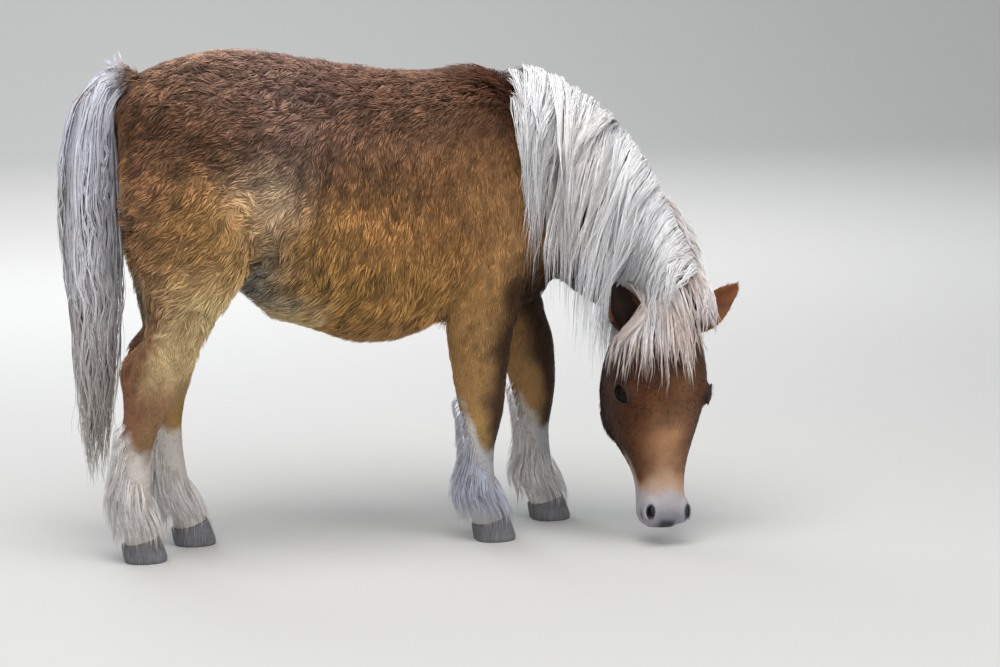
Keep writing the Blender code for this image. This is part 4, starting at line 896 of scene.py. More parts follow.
faceUv = unwrap()
layer = skin.data.uv_layers.new(name="OFBake")
loopUv = np.zeros((len(skin.data.loops), 2), np.float32)
triLoops = np.empty(len(skin.data.loop_triangles) * 3, np.int32)
skin.data.loop_triangles.foreach_get("loops", triLoops)
loopUv[triLoops] = faceUv.reshape(-1, 2)
layer.data.foreach_set("uv", loopUv.ravel())
skinColour = coatColour(skinPoints)
attribute = skin.data.color_attributes.new("coat", "FLOAT_COLOR", "POINT")
under = 0.60 + 0.42 * headShare(skinPoints)[:, None] * smooth01(headPlace(skinPoints)[:, 0], 0.02, 0.10)[:, None]
attribute.data.foreach_set("color", np.hstack([skinColour * under, np.ones((len(skinPoints), 1))]).astype(np.float32).ravel())
skin.data.materials.clear()
skin.data.materials.append(skinFinish)
skin.data.polygons.foreach_set("use_smooth", np.ones(len(skin.data.polygons), bool))
skinTree = BVHTree.FromPolygons(skinPoints.tolist(), skinTriangles.tolist())
print("skin area", round(float(faceArea.sum()), 3))

# ---- fur

fur = {
    "perSquareMetre": {"body": 41500, "leg": 46000, "head": 128000, "muzzle": 150000, "ear": 150000},
    "widthShare": 0.030,
}


def scatter(which, perArea, seed):
    rng = np.random.default_rng(seed)
    wanted = faceArea[which] * perArea
    count = np.floor(wanted + rng.random(len(which))).astype(int)
    face = np.repeat(which, count)
    a, b = rng.random(len(face)), rng.random(len(face))
    fold = a + b > 1
    a, b = np.where(fold, 1 - a, a), np.where(fold, 1 - b, b)
    bary = np.stack([1 - a - b, a, b], 1)
    spot = (corner[face] * bary[:, :, None]).sum(1)
    normal = unit((skinNormals[skinTriangles[face]] * bary[:, :, None]).sum(1))
    return spot, normal, (faceUv[face] * bary[:, :, None]).sum(1)


def nearestOf(points, centres):
    tree = KDTree(len(centres))
    for i, centre in enumerate(centres):
        tree.insert(centre, i)
    tree.balance()
    return np.array([tree.find(p)[1] for p in points])


def furPiece(name, which, perArea, seed, stations=3, lift=0.36, rooted=0.42, contrast=0.27, pull=0.42):
    spot, normal, uv = scatter(which, perArea, seed)
    rng = np.random.default_rng(seed + 500)
    count = len(spot)
    flow = coatFlow(spot, normal)
    across = np.cross(normal, flow)
    length = coatLength(spot, normal) * rng.uniform(0.66, 1.12, count)
    wild = 1 - 0.45 * smooth01(spot[:, 0], 0.02, 0.25)  # clumpy over croup and flank, smoother on the shoulder
    messy = (0.12 + 0.22 * smooth01(waveNoise(spot, 22, 31), -0.3, 1.0)) * wild
    clump = rng.choice(count, max(int(count * 0.07), 1), replace=False)
    mine = nearestOf(spot, spot[clump])
    clumpYaw = rng.normal(0, 1.0, len(clump))[mine] * messy * 1.6
    yaw = clumpYaw + rng.normal(0, 1.0, count) * 0.13
    flow = unit(flow + across * yaw[:, None])
    lean = lift * (1 + 0.25 * rng.normal(0, 1, count) + 0.9 * (messy - 0.1) + 0.5 * smooth01(normal[:, 2], 0.3, 0.9) * wild + 1.3 * topWool(spot, normal))
    lean = np.clip(lean, 0.08, 0.85)[:, None]
    tip = flow * np.sqrt(1 - (lean * 0.62) ** 2) + normal * lean * 0.62
    half = flow * np.sqrt(1 - lean ** 2) + normal * lean
    root = spot - normal * 0.0012
    end = root + tip * length[:, None] - np.array([0, 0, 0.10]) * length[:, None]
    clumpEnd = end[clump][mine]
    close = smooth01(0.035 - np.linalg.norm(spot[clump][mine] - spot, axis=1), 0.0, 0.015)  # lone tufts keep their own tips
    end = end + (clumpEnd - end) * (pull * (0.8 + 0.5 * wild) * rng.uniform(0.5, 1.1, count) * close)[:, None]
    middle = root + half * (length * 0.5)[:, None] + (clumpEnd - end) * (0.10 * close)[:, None]
    if stations == 2:
        paths = np.stack([root, end], 1)
    else:
        paths = np.stack([root, middle, end], 1)
    width = np.clip(length * fur["widthShare"], 0.00045, 0.0013) * rng.uniform(0.8, 1.25, count)
    widths = np.stack([width, width * 0.85, width * 0.1][:stations], 1)
    base = coatColour(spot)
    light = base.mean(1)
    pale = smooth01(light, 0.30, 0.60)[:, None]
    smoother = (1.40 - 0.55 * smooth01(spot[:, 0], 0.02, 0.25))[:, None]
    clumpTone = np.exp(rng.normal(0, contrast, len(clump))[mine][:, None] * smoother)
    locks = waveNoise(spot + flow * 0.3 * length[:, None], 210, 35, 2) * (1 - headShare(spot)) * 0.20
    tone = clumpTone * np.exp(rng.normal(0, 0.16, count) + locks)[:, None]
    tone = 1 + (np.clip(tone, 0.45, 1.50) - 1) * (1 - 0.55 * pale)
    rooted = rooted - 0.10 * (1 - headShare(spot)[:, None]) * smooth01(0.15 - spot[:, :1], 0.0, 0.2)
    dark = rooted + (0.90 - rooted) * pale
    # hair tips on top of the back are paler and greyer
    greyedTone = base.mean(1, keepdims=True) * np.array([1.06, 0.98, 0.93])
    onTop = smooth01(spot[:, 2], 0.80, 0.98) * (1 - smooth01(spot[:, 0], 0.15, 0.30))
    tipColour = base * 1.18 + (greyedTone * 1.5 - base) * 0.16 * onTop[:, None]
    tints = [base * tone * dark, base * tone * (0.95 + 0.05 * pale), tipColour * tone]
    if stations == 2:
        tints = [tints[0] * 1.25, tints[2]]
    outs = np.repeat(normal[:, None], stations, 1)
    return strandMesh(name, paths, outs, widths, np.clip(np.stack(tints, 1), 0.003, 0.97), uv, furFinish)


faces = np.arange(len(faceArea))
nearEye = np.min([np.linalg.norm(faceMiddle - np.array(eyeCentre(k)), axis=1) for k in (-1, 1)], axis=0)
eyeGap = np.full(len(faceMiddle), 9.0)  # 1 at the edge of the opening between the lids
for k in (-1, 1):
    out, lift, long = [np.array(v) for v in eyeFrame(k)]
    off = faceMiddle - np.array(eyeCentre(k))
    gap = np.hypot((off @ long) / (head["opening"][0] + 0.0035), (off @ lift) / (head["opening"][1] + 0.0030))
    eyeGap = np.where(off @ out > 0, np.minimum(eyeGap, gap), eyeGap)
bare = isHeadFace & ((nearEye < head["eyeRadius"] + 0.0012) | (eyeGap < 1.0))
onDock = (faceMiddle[:, 0] < -0.455)
alongHead, sideHead, frontHead = headPlace(faceMiddle).T
earFace = isHeadFace & (earShare(faceMiddle) > 0.4)
muzzleFace = isHeadFace & (alongHead > 0.40)
buried = np.zeros(len(faceArea), bool)
sole = ~isHeadFace & (faceMiddle[:, 2] < 0.055)
legFace = ~isHeadFace & (faceMiddle[:, 2] < 0.47) & (faceMiddle[:, 0] < 0.50) & ~sole
groups = {
    "furMuzzle": (muzzleFace & ~bare, fur["perSquareMetre"]["muzzle"], dict(stations=2, lift=0.20, rooted=0.80, contrast=0.06)),
    "furEars": (earFace, fur["perSquareMetre"]["ear"], dict(stations=2, lift=0.25, rooted=0.7)),
    "furHead": (isHeadFace & ~muzzleFace & ~earFace & ~bare, fur["perSquareMetre"]["head"], dict(stations=2, lift=0.15, rooted=0.60, contrast=0.25, pull=0.38)),
    "furLegsRight": (legFace & (faceMiddle[:, 1] < 0), fur["perSquareMetre"]["leg"], dict(lift=0.22, contrast=0.10, pull=0.4)),
    "furLegsLeft": (legFace & (faceMiddle[:, 1] >= 0), fur["perSquareMetre"]["leg"], dict(lift=0.22, contrast=0.10, pull=0.4)),
}
rest = ~isHeadFace & ~legFace & ~onDock & ~sole
cuts = np.quantile(np.repeat(faceMiddle[rest][:, 0], np.maximum(1, (faceArea[rest] * 1e6).astype(int) // 4)), np.linspace(0, 1, 6))
cuts[0], cuts[-1] = -9, 9
for i in range(5):
    for side, test in (("Right", faceMiddle[:, 1] < 0), ("Left", faceMiddle[:, 1] >= 0)):
        groups["furBody" + side + str(i + 1)] = (rest & test & (faceMiddle[:, 0] >= cuts[i]) & (faceMiddle[:, 0] < cuts[i + 1]),
                                                 fur["perSquareMetre"]["body"], {})
total = 0
for seed, (name, (mask, perArea, options)) in enumerate(groups.items()):
    piece = furPiece(name, faces[mask], perArea, 100 + seed, **options)
    total += len(piece.data.polygons)
    print(name, len(piece.data.polygons))
print("fur faces", total)

# Long hair: guides that hang and slide over the body, with many strands round each.

def drapeGuide(root, start, length, clearance, pull, droop, stations=13, tree=None, droopEnd=None):
    tree = tree or skinTree
    points, outs = [root.copy()], []
    away = tree.find_nearest(root)[1]
    heading = start.normalized()
    spot = root.copy()
    for i in range(1, stations):
        share = i / (stations - 1)
        spot = spot + heading * (length / (stations - 1))
        keep = clearance * min(1.0, share * 4.5)
        near, normal, _, distance = tree.find_nearest(spot)
        if distance < keep or (distance < 0.06 and (spot - near).dot(normal) < 0):
            spot = near + normal * keep
            away = normal
        heading = (spot - points[-1]).normalized()
        wanted = droop if droopEnd is None else droop.lerp(droopEnd, min(1.0, share * 1.4)).normalized()
        heading = (heading * (1 - pull) + wanted * pull).normalized()
        outs.append(away)
        points.append(spot.copy())
    outs.append(away)
    return points, outs


def skinUvAt(paths):  # where each strand's root lies on the unwrapped skin
    return np.array([faceUv[skinTree.find_nearest(Vector(path[0]))[2]].mean(0) for path in paths])


def hangStrands(name, guides, look, colourOf, seed, stations=9, pastEars=()):
    rng = np.random.default_rng(seed)
    finer = 3 if pastEars else 1
    paths = np.array([[tuple(p) for p in points] for points, _ in guides])
    outs = np.array([[tuple(n) for n in normals] for _, normals in guides])
    total = len(guides) * look["each"]
    which = np.repeat(np.arange(len(guides)), look["each"])
    hank = which * look["hanks"] + rng.integers(0, look["hanks"], total)  # each guide splits into finer hanks
    hanks = len(guides) * look["hanks"]
    reach = (rng.uniform(0.74, 1.0, hanks)[hank]) * rng.uniform(0.80, 1.0, total)
    place = np.linspace(0, 1, (stations - 1) * finer + 1)[None] * reach[:, None] * (paths.shape[1] - 1)
    low = np.minimum(place.astype(int), paths.shape[1] - 2)
    part = (place - low)[..., None]
    path = paths[which[:, None], low] * (1 - part) + paths[which[:, None], low + 1] * part
    out = unit(outs[which[:, None], low] * (1 - part) + outs[which[:, None], low + 1] * part)
    side = unit(np.cross(unit(np.gradient(path, axis=1)), out))
    share = place / (paths.shape[1] - 1)
    own = share / reach[:, None]

    def disc(count):
        angle, radius = rng.uniform(0, 2 * np.pi, count), np.sqrt(rng.random(count))
        return np.cos(angle) * radius, np.sin(angle) * radius

    hankSide, hankOut = disc(hanks)
    ownSide, ownOut = disc(total)
    wide = look["spread"] * (1 - look["narrow"] * share ** 1.2)
    fine = look["spread"] * 0.42 * (1 - look["gather"] * own ** 0.9)
    offSide = hankSide[hank][:, None] * wide + ownSide[:, None] * fine
    offOut = (hankOut[hank][:, None] * 0.5 + 0.5) * wide * 0.45 + ownOut[:, None] * fine * 0.35
    stray = (rng.random(total) < 0.05) * rng.normal(0, 1, total) * look["spread"] * 0.9
    offSide = offSide + stray[:, None] * own ** 2
    offOut = offOut * np.minimum(0.2 + share * 4, 1) + np.abs(stray)[:, None] * own ** 2 * 0.5
    grow = look["wave"] * np.minimum(share * 2.2, 1.0) ** 1.5
    phase = rng.uniform(0, 6.28, hanks)[hank][:, None] * 0.6 + rng.uniform(0, 6.28, len(guides))[which][:, None]
    rate = look.get("turns", 9.0) * rng.uniform(0.75, 1.35, hanks)[hank][:, None]
    ripple = np.sin(share * rate + phase) * grow + np.sin(share * rate * 2.3 + phase * 1.7) * grow * 0.35
    ripple = ripple + np.sin(share * 21 + rng.uniform(0, 6.28, total)[:, None]) * grow * 0.16
    lift = np.abs(np.sin(share * rate * 0.8 + phase * 2.1)) * grow * 0.5
    path = path + side * (offSide + ripple)[..., None] + out * (offOut + lift)[..., None]
    for earName, way in pastEars:
        path = passEar(path, earName, way)
    path, out, share = path[:, ::finer], out[:, ::finer], share[:, ::finer]
    widest = cadBox[0][1] - shift[1] + 0.004  # stray hairs stay within the model's own width
    path[..., 1] = np.maximum(path[..., 1], widest)
    line = np.linspace(0, 1, stations)[None]
    widths = look["width"] * rng.uniform(0.7, 1.3, total)[:, None] * (1 - 0.78 * line ** 2.2) * np.minimum(0.45 + line * 4, 1)
    tone = np.exp(rng.normal(0, 0.11, hanks))[hank] * np.exp(rng.normal(0, 0.10, total))
    colours = colourOf(share, path) * tone[:, None, None]
    piece = strandMesh(name, path, out, widths, np.clip(colours, 0.004, 0.96), skinUvAt(path), longFinish)
    print(name, len(piece.data.polygons))
    return piece


def passEar(path, name, way):  # strands slide past an ear instead of crossing it, or hang behind it
    base, tip, opening = ears[name]
    base, tip, opening = np.array(headPoint(*base)), np.array(headPoint(*tip)), np.array(opening)
    along, length = unit(tip - base), np.linalg.norm(tip - base)
    opening = unit(opening - along * (opening @ along))
    side = np.cross(along, opening)
    towards = np.sign(side @ np.array(headLeft)) * (1 if name == "right" else -1)
    t, off, ahead = (path - base) @ along, ((path - base) @ side) * towards, (path - base) @ opening
    half = 0.035 * np.sin(np.pi * np.clip(0.25 + 0.7 * t / length, 0, 1)) ** 0.7
    if way == "behind":
        crossing = (t > -0.045) & (t < length + 0.006) & (np.abs(off) < half + 0.004) & (ahead > -0.016) & (ahead < 0.20)
        push = np.where(crossing, ahead + 0.016, 0.0)
        push = np.maximum.accumulate(push, axis=1)
        for share in (0.8, 0.6, 0.4, 0.2):
            push[:, :-1] = np.maximum(push[:, :-1], push[:, 1:] * share)
        return path - opening * push[..., None]
    if way == "short":  # hair over the far side of the head ends before that ear
        limit = 0.092
        left = (path - np.array(poll)) @ np.array(headLeft)
        over = np.maximum(left - limit, 0) * 0.60
        return path - np.array(headLeft) * over[..., None]
    crossing = (t > -0.006) & (t < length + 0.006) & (np.abs(off) < half) & (ahead > -0.030) & (ahead < 0.16)
    push = np.where(crossing, half - off, 0.0)
    for _ in range(2):
        push[:, 1:-1] = np.maximum(push[:, 1:-1], (push[:, :-2] + push[:, 2:]) * 0.5)
    return path + side * (towards * push)[..., None]


mane = {
    "spread": 0.024, "width": 0.00080, "wave": 0.0098, "narrow": 0.15, "gather": 0.66, "hanks": 9, "each": 52, "turns": 10.0,
    "layers": [(42, 0.004), (34, 0.011), (30, 0.018)],  # guides in each layer, how far it stands off the neck
    # place along the crest, length, slope of its fall at first
    "hang": [(0.16, 0.20, -0.04), (0.19, 0.30, -0.12), (0.24, 0.42, -0.24), (0.32, 0.52, -0.42), (0.45, 0.57, -0.74),
             (0.60, 0.52, -0.98), (0.75, 0.44, -0.90), (0.88, 0.36, -0.70), (1.00, 0.28, -0.50)],
    "root": (0.50, 0.40, 0.35), "white": (0.92, 0.92, 0.96), "cream": (0.85, 0.81, 0.79),
}
forelock = {
    "length": 0.31, "count": 46, "each": 56, "spread": 0.0125, "width": 0.00074, "wave": 0.0046, "narrow": 0.10, "gather": 0.90,
    "hanks": 4, "root": (0.28, 0.155, 0.095), "hair": (0.66, 0.56, 0.52), "light": (0.80, 0.74, 0.74),
}
hairTree = BVHTree.FromPolygons(skinPoints.tolist(), skinTriangles[earShare(faceMiddle) < 0.3].tolist())


def blend3(first, second, share):
    return np.array(first) + (np.array(second) - np.array(first)) * share[..., None]


def patchy(path, scale, seed, low, high):
    return smooth01(waveNoise(path.reshape(-1, 3), scale, seed).reshape(path.shape[:-1]), low, high)


def maneColour(share, path):
    hair = blend3(mane["white"], mane["cream"], patchy(path, 22, 41, -0.1, 1.1) * 0.75)
    hair = hair * (1 - 0.24 * smooth01(share, 0.50, 0.95))[..., None]  # darker towards its ends
    return blend3(mane["root"], (1, 1, 1), smooth01(share, 0.0, 0.17)) * hair


def pollColour(share, path):
    hair = blend3(forelock["light"], mane["cream"], patchy(path, 30, 47, -0.3, 0.8))
    return blend3(mane["root"], (1, 1, 1), smooth01(share, 0.0, 0.30)) * hair


def maneGuides(layer):
    count, away = mane["layers"][layer]
    rng = random.Random(11 + layer)
    guides = []
    for i in range(count):
        share = 0.165 + 0.825 * (i + rng.uniform(0.1, 0.9)) / count
        if 0.315 < share < 0.345 and layer < 2:
            share -= 0.03
        crest, rise, ahead = crestAt(share)
        right = ahead.cross(rise)
        root = crest - rise * (0.034, 0.018, 0.012)[layer] + right * (0.034, 0.012, -0.012)[layer]
        _, reach, slope = rowAt(mane["hang"], share)
        stand = float(np.interp(share, [0.16, 0.45, 0.70, 1.0], [0.75, 0.60, 0.30, 0.25]))  # it stands up before it falls
        high = rise.lerp(Vector((0.30, 0.0, 1.0)), float(smooth01(0.34 - share, 0.0, 0.12)))
        start = high * (0.10, 0.6 * stand, stand)[layer] + right * 0.85 + ahead * rng.uniform(-0.12, 0.12)
        fall = Vector((slope + rng.uniform(-0.10, 0.10), -0.02, -1.0)).normalized()
        last = Vector((0.06 + rng.uniform(-0.08, 0.08), -0.02, -1.0)).normalized()
        pull = (0.36, 0.36, 0.30)[layer]
        guides.append(drapeGuide(root, start, reach * rng.uniform(0.84, 1.08), away, pull, fall, 13, hairTree, last))
    return guides


def pollGuides():  # the last of the mane falls forward and to the left over the end of the neck
    rng = random.Random(17)
    guides = []
    for i in range(36):
        share = 0.66 + 0.34 * (i + rng.uniform(0.1, 0.9)) / 36
        crest, rise, ahead = crestAt(share)
        left = rise.cross(ahead)
        over = rng.random()
        root = crest - rise * 0.014 + left * (-0.014 + 0.026 * over)
        start = rise * 0.10 + left * (0.10 + 0.4 * over) + ahead * (0.7 + 0.4 * rng.random())
        reach = (0.11 + 0.03 * max(0.0, (share - 0.66) / 0.34)) * rng.uniform(0.85, 1.1)
        guides.append(drapeGuide(root, start, reach, 0.004 + 0.006 * over, 0.30, Vector((-0.02, -0.10, -1)).normalized(), 13, hairTree))
    return guides


for layer, layerName in enumerate(("maneUnder", "maneMiddle", "maneTop")):
    look = {**mane, "each": (38, 52, 56)[layer]}
    hangStrands(layerName, maneGuides(layer), look, maneColour, 51 + layer, stations=8, pastEars=(("right", "behind"),))
hangStrands("manePoll", pollGuides(), {**mane, "each": 44}, pollColour, 55, stations=8, pastEars=(("right", "behind"), ("left", "short")))

def forelockGuides():
    rng = random.Random(23)
    guides = []
    for i in range(forelock["count"]):
        turn = 2 * (i + rng.uniform(0.1, 0.9)) / forelock["count"] - 1
        over = rng.random()
        root = headPoint(-0.058 + 0.064 * over + 0.012 * turn ** 2, -0.008 + turn * (0.040 if turn > 0 else 0.048), -0.060 + 0.022 * over)
        near, normal, _, _ = skinTree.find_nearest(root)
        root = near - normal * 0.003
        start = headLeft * turn * 0.8 + headFront * 0.7 + headDown * 0.1
        reach = forelock["length"] * (1 - 0.10 * abs(turn) - 0.24 * max(0.0, turn) ** 3) * (1 - 0.22 * over) * rng.uniform(0.76, 1.06)
        fall = (headDown + headLeft * (turn * (0.24 if turn > 0 else 0.34) - 0.05) + Vector((0, 0, -0.6))).normalized()
        guides.append(drapeGuide(root, start, reach, 0.005 + 0.014 * (1 - over), 0.34, fall, 13, hairTree))
    return guides


def forelockColour(share, path):
    hair = blend3(forelock["hair"], forelock["light"], patchy(path, 60, 43, -0.2, 1.0))
    return blend3(forelock["root"], (1, 1, 1), smooth01(share, 0.0, 0.24)) * hair


hangStrands("forelock", forelockGuides(), forelock, forelockColour, 56, stations=8, pastEars=(("right", "inner"), ("left", "short")))

tail = {
    "each": 22, "spread": 0.014, "width": 0.00125, "wave": 0.0078, "narrow": 0.15, "gather": 0.80, "hanks": 4, "turns": 30.0,
    # height, middle x, half depth, half width of the whole hanging tail
    "outline": [(0.99, -0.480, 0.020, 0.020), (0.95, -0.495, 0.036, 0.036), (0.90, -0.503, 0.046, 0.046),
                (0.80, -0.512, 0.052, 0.050), (0.65, -0.512, 0.056, 0.052), (0.50, -0.506, 0.046, 0.044),
                (0.35, -0.508, 0.036, 0.034), (0.22, -0.512, 0.024, 0.022), (0.12, -0.510, 0.012, 0.012)],
    # place along the dock, guides, reach, share of the outline that they fill
    "tiers": [(0.13, 5, 0.36, 1.0), (0.22, 7, 0.46, 1.0), (0.30, 8, 0.66, 0.97), (0.38, 9, 0.80, 0.93), (0.46, 10, 0.88, 0.95), (0.54, 9, 0.86, 0.80),
              (0.63, 9, 0.82, 0.66), (0.72, 8, 0.72, 0.50), (0.82, 7, 0.62, 0.34), (0.93, 6, 0.54, 0.20)],
    "top": (0.58, 0.585, 0.670), "middle": (0.70, 0.69, 0.73), "low": (0.430, 0.345, 0.235), "shade": (0.40, 0.34, 0.30),
}


def tailGuides():
    rng = random.Random(37)
    rows = smoothRows(dock["sections"], 6)
    guides = []
    for along, count, length, fill in tail["tiers"]:
        place = along * (len(rows) - 1)
        for i in range(count):
            row = rows[min(int(place + rng.uniform(-1.2, 1.2)), len(rows) - 2)]
            nextRow = rows[min(int(place) + 3, len(rows) - 1)]
            ahead = Vector((nextRow[0] - row[0], 0, nextRow[1] - row[1])).normalized()
            angle = 2 * math.pi * (i + rng.uniform(0.1, 0.9)) / count
            backward = ahead.cross(Vector((0, 1, 0)))
            if backward.x > 0:
                backward = -backward
            out = backward * math.cos(angle) + Vector((0, 1, 0)) * math.sin(angle)
            root = Vector((row[0], 0, row[1])) + backward * math.cos(angle) * row[2] * 0.8
            root.y += math.sin(angle) * row[3] * 0.8
            level = root.z
            reach = min(length * rng.uniform(0.86, 1.06), level - 0.110)
            fillHere = fill * rng.uniform(0.75, 1.05)
            points = []
            for k in range(13):
                share = k / 12
                fallen = share * reach - 0.020 * math.sin(math.pi * min(1.0, share * 5)) * (along < 0.4)
                z = level - fallen
                _, middle, deep, half = rowAt(tail["outline"], z)
                flat = Vector((-math.cos(angle), math.sin(angle), 0))
                want = Vector((middle + flat.x * deep * fillHere, flat.y * half * fillHere, z))
                start = root + out * share * 0.08 + ahead * share * 0.05
                points.append(start.lerp(want, float(smooth01(share, 0.0, 0.22))))
            guides.append((points, [Vector((-math.cos(angle), math.sin(angle), 0.05)).normalized()] * 13))
    return guides


def tuftGuides():  # the short tuft that stands where the tail begins
    rng = random.Random(39)
    rows = smoothRows(dock["sections"], 6)
    row = rows[len(rows) // 7]
    guides = []
    for i in range(9):
        lean = Vector((rng.uniform(-0.45, 0.05), rng.uniform(-0.25, 0.25), 1.0)).normalized()
        root = Vector((row[0] + rng.uniform(-0.012, 0.016), rng.uniform(-0.01, 0.01), row[1] - 0.005))
        reach = rng.uniform(0.045, 0.080)
        points = [root + lean * reach * k / 12 + Vector((-0.012, 0, 0)) * (k / 12) ** 2 for k in range(13)]
        guides.append((points, [Vector((0, -1, 0))] * 13))
    return guides


def tailColour(share, path):
    z = path[..., 2]
    tint = blend3(tail["middle"], tail["top"], smooth01(z, 0.58, 0.84))
    tint = tint + (np.array(tail["low"]) - tint) * (smooth01(0.62 - z, 0.0, 0.30) * (0.45 + 0.55 * patchy(path, 16, 44, -0.5, 0.9)))[..., None]
    return tint + (np.array(tail["shade"]) - tint) * (patchy(path, 30, 45, 0.1, 1.0) * 0.45)[..., None]


tailPiece = hangStrands("tailHair", tailGuides(), tail, tailColour, 57, stations=17)
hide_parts("tail")
hangStrands("tailTuft", tuftGuides(), {**tail, "wave": 0.0008, "spread": 0.005, "gather": 0.5, "width": 0.0007}, tailColour, 59, stations=5)

feather = {
    # height, hairs' guides round the leg, length, reach round from the back, how far they stand off
    "hind": [(0.270, 4, 0.050, 0.6, 0.004), (0.240, 7, 0.060, 0.8, 0.007), (0.210, 9, 0.072, 1.0, 0.013),
             (0.178, 12, 0.085, 1.3, 0.020), (0.148, 15, 0.098, 1.9, 0.023), (0.116, 17, 0.098, 3.1, 0.018)],
    "front": [(0.290, 3, 0.050, 0.4, 0.004), (0.260, 4, 0.055, 0.6, 0.006), (0.228, 6, 0.065, 0.8, 0.009),
              (0.188, 9, 0.080, 1.2, 0.016), (0.150, 14, 0.095, 1.9, 0.020), (0.116, 16, 0.094, 3.1, 0.016)],
    "dense": 4, "each": 7, "spread": 0.0080, "width": 0.00048, "wave": 0.0010, "narrow": 0.0, "gather": 0.25, "hanks": 3,
    "hair": (0.82, 0.78, 0.77), "dirty": (0.55, 0.48, 0.40),
}


def featherGuides():
    rng = random.Random(41)
    guides = []
    for name, (rows, side) in legRows.items():
        for height, count, length, spread, stand in feather[name.split("_")[0]]:
            for i in range(count * feather["dense"]):
                angle = math.pi + spread * (2 * (i + rng.uniform(0.0, 1.0)) / (count * feather["dense"]) - 1)
                out = Vector((math.cos(angle), math.sin(angle), 0.0))
                level = height + rng.uniform(-0.022, 0.022)
                _, back, front, apart, half = rowAt(rows, level)
                root = Vector(((back + front) / 2, side * apart, level))
                root += Vector((out.x * (front - back) / 2, out.y * half, 0)) * 0.80
                reach = min(length * rng.uniform(0.75, 1.1), level - 0.012)
                behind = max(0.0, -out.x) * stand * rng.uniform(0.4, 1.1)
                points = []
                for k in range(8):
                    share = k / 7
                    level2 = level - share * reach
                    _, back, front, apart, half = rowAt(rows, max(level2, 0.055))
                    off = 0.84 + 0.16 * min(1.0, share * 4)
                    spot = Vector(((back + front) / 2 + out.x * (front - back) / 2 * off, side * apart + out.y * half * off, level2))
                    spot += out * (0.003 * min(1.0, share * 3) + behind * float(smooth01(share, 0.0, 1.0)))
                    spot.z = max(spot.z, 0.004)
                    points.append(spot)
                guides.append((points, [out] * 8))
    return guides


def featherColour(share, path):
    hair = blend3(feather["hair"], feather["dirty"], smooth01(0.085 - path[..., 2], 0.0, 0.075) * 0.8)
    hair = hair + (np.array(feather["dirty"]) - hair) * (patchy(path, 40, 46, 0.2, 1.2) * 0.35)[..., None]
    # painted shade, cool grey-blue, on the feather of the near front leg
    return hair * np.where((path[..., :1] > 0) & (path[..., 1:2] < 0), np.array((0.66, 0.72, 0.86)), 1)


hangStrands("feather", featherGuides(), feather, featherColour, 58, stations=5)

# ---- eyes

eye = {"pupil": (0.0028, 0.0062), "iris": 0.0130, "brown": (0.008, 0.005, 0.005), "black": (0.002, 0.002, 0.003), "white": (0.012, 0.009, 0.009)}
eyeFinish, nodes, links, shader = newMaterial("wet eye")
tint = nodes.new("ShaderNodeAttribute")
tint.attribute_name = "coat"
place = nodes.new("ShaderNodeTexCoord")
fibres = addNode(nodes, "ShaderNodeTexNoise", Scale=900.0, Detail=3.0)
links.new(place.outputs["Object"], fibres.inputs["Vector"])
scaled = nodes.new("ShaderNodeVectorMath")
scaled.operation = "SCALE"
fibreRange = addNode(nodes, "ShaderNodeMapRange", To_Min=0.6, To_Max=1.4)
links.new(fibres.outputs["Fac"], fibreRange.inputs["Value"])
links.new(tint.outputs["Color"], scaled.inputs[0])
links.new(fibreRange.outputs["Result"], scaled.inputs["Scale"])
links.new(scaled.outputs["Vector"], shader.inputs["Base Color"])
shader.inputs["Roughness"].default_value = 0.10
shader.inputs["Specular IOR Level"].default_value = 0.04
shader.inputs["Coat Weight"].default_value = 0.12
shader.inputs["Coat Roughness"].default_value = 0.03
for name, side in (("right", -1), ("left", 1)):
    bm = bmesh.new()
    addBall(bm, eyeCentre(side), [head["eyeRadius"]] * 3, None, 64, 40)
    ball = meshObject("eyeball_" + name, bm)
    spots = readPoints(ball) - np.array(eyeCentre(side))
    out, lift, long = [np.array(v) for v in eyeFrame(side)]
    u, v = spots @ lift, spots @ long
    facing = (spots @ out) > 0
    tone = np.tile(np.array(eye["white"]), (len(spots), 1))
    irisShare = smooth01(eye["iris"] + 0.0015 - np.hypot(u, v), 0.0, 0.0015) * facing
    tone = tone + (np.array(eye["brown"]) - tone) * irisShare[:, None]
    pupilShare = smooth01(1.25 - np.hypot(u / eye["pupil"][0], v / eye["pupil"][1]), 0, 0.4) * facing
    tone = tone + (np.array(eye["black"]) - tone) * pupilShare[:, None]
    attribute = ball.data.color_attributes.new("coat", "FLOAT_COLOR", "POINT")
    attribute.data.foreach_set("color", np.hstack([tone, np.ones((len(tone), 1))]).astype(np.float32).ravel())
    ball.data.materials.append(eyeFinish)
    ball.data.polygons.foreach_set("use_smooth", np.ones(len(ball.data.polygons), bool))
    writePoints(ball, readPoints(ball) + np.array(shift))
    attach(ball, "root")
    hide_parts("eye_" + name)

lashes = {"count": 15, "length": 0.013, "colour": (0.012, 0.008, 0.007)}
rng = np.random.default_rng(83)
paths, outs = [], []
for side in (-1, 1):
    out, lift, long = [np.array(v) for v in eyeFrame(side)]
    for i in range(lashes["count"]):
        angle = math.radians(25 + 130 * (i + rng.uniform(0.2, 0.8)) / lashes["count"])
        u, v = math.cos(angle) * head["opening"][0] * 0.92, math.sin(angle) * head["opening"][1] * 0.92
        deep = math.sqrt(max(0.0, (head["eyeRadius"] + 0.0015) ** 2 - u * u - v * v))
        root = np.array(eyeCentre(side)) + long * u + lift * v + out * deep
        reach = lashes["length"] * rng.uniform(0.7, 1.1)
        way = unit(out * 0.75 + lift * 0.55 + long * math.cos(angle) * 0.35)
        paths.append([root + way * reach * k / 3 - np.array((0, 0, 1)) * reach * 0.5 * (k / 3) ** 2 for k in range(4)])
        outs.append([lift] * 4)
count = len(paths)
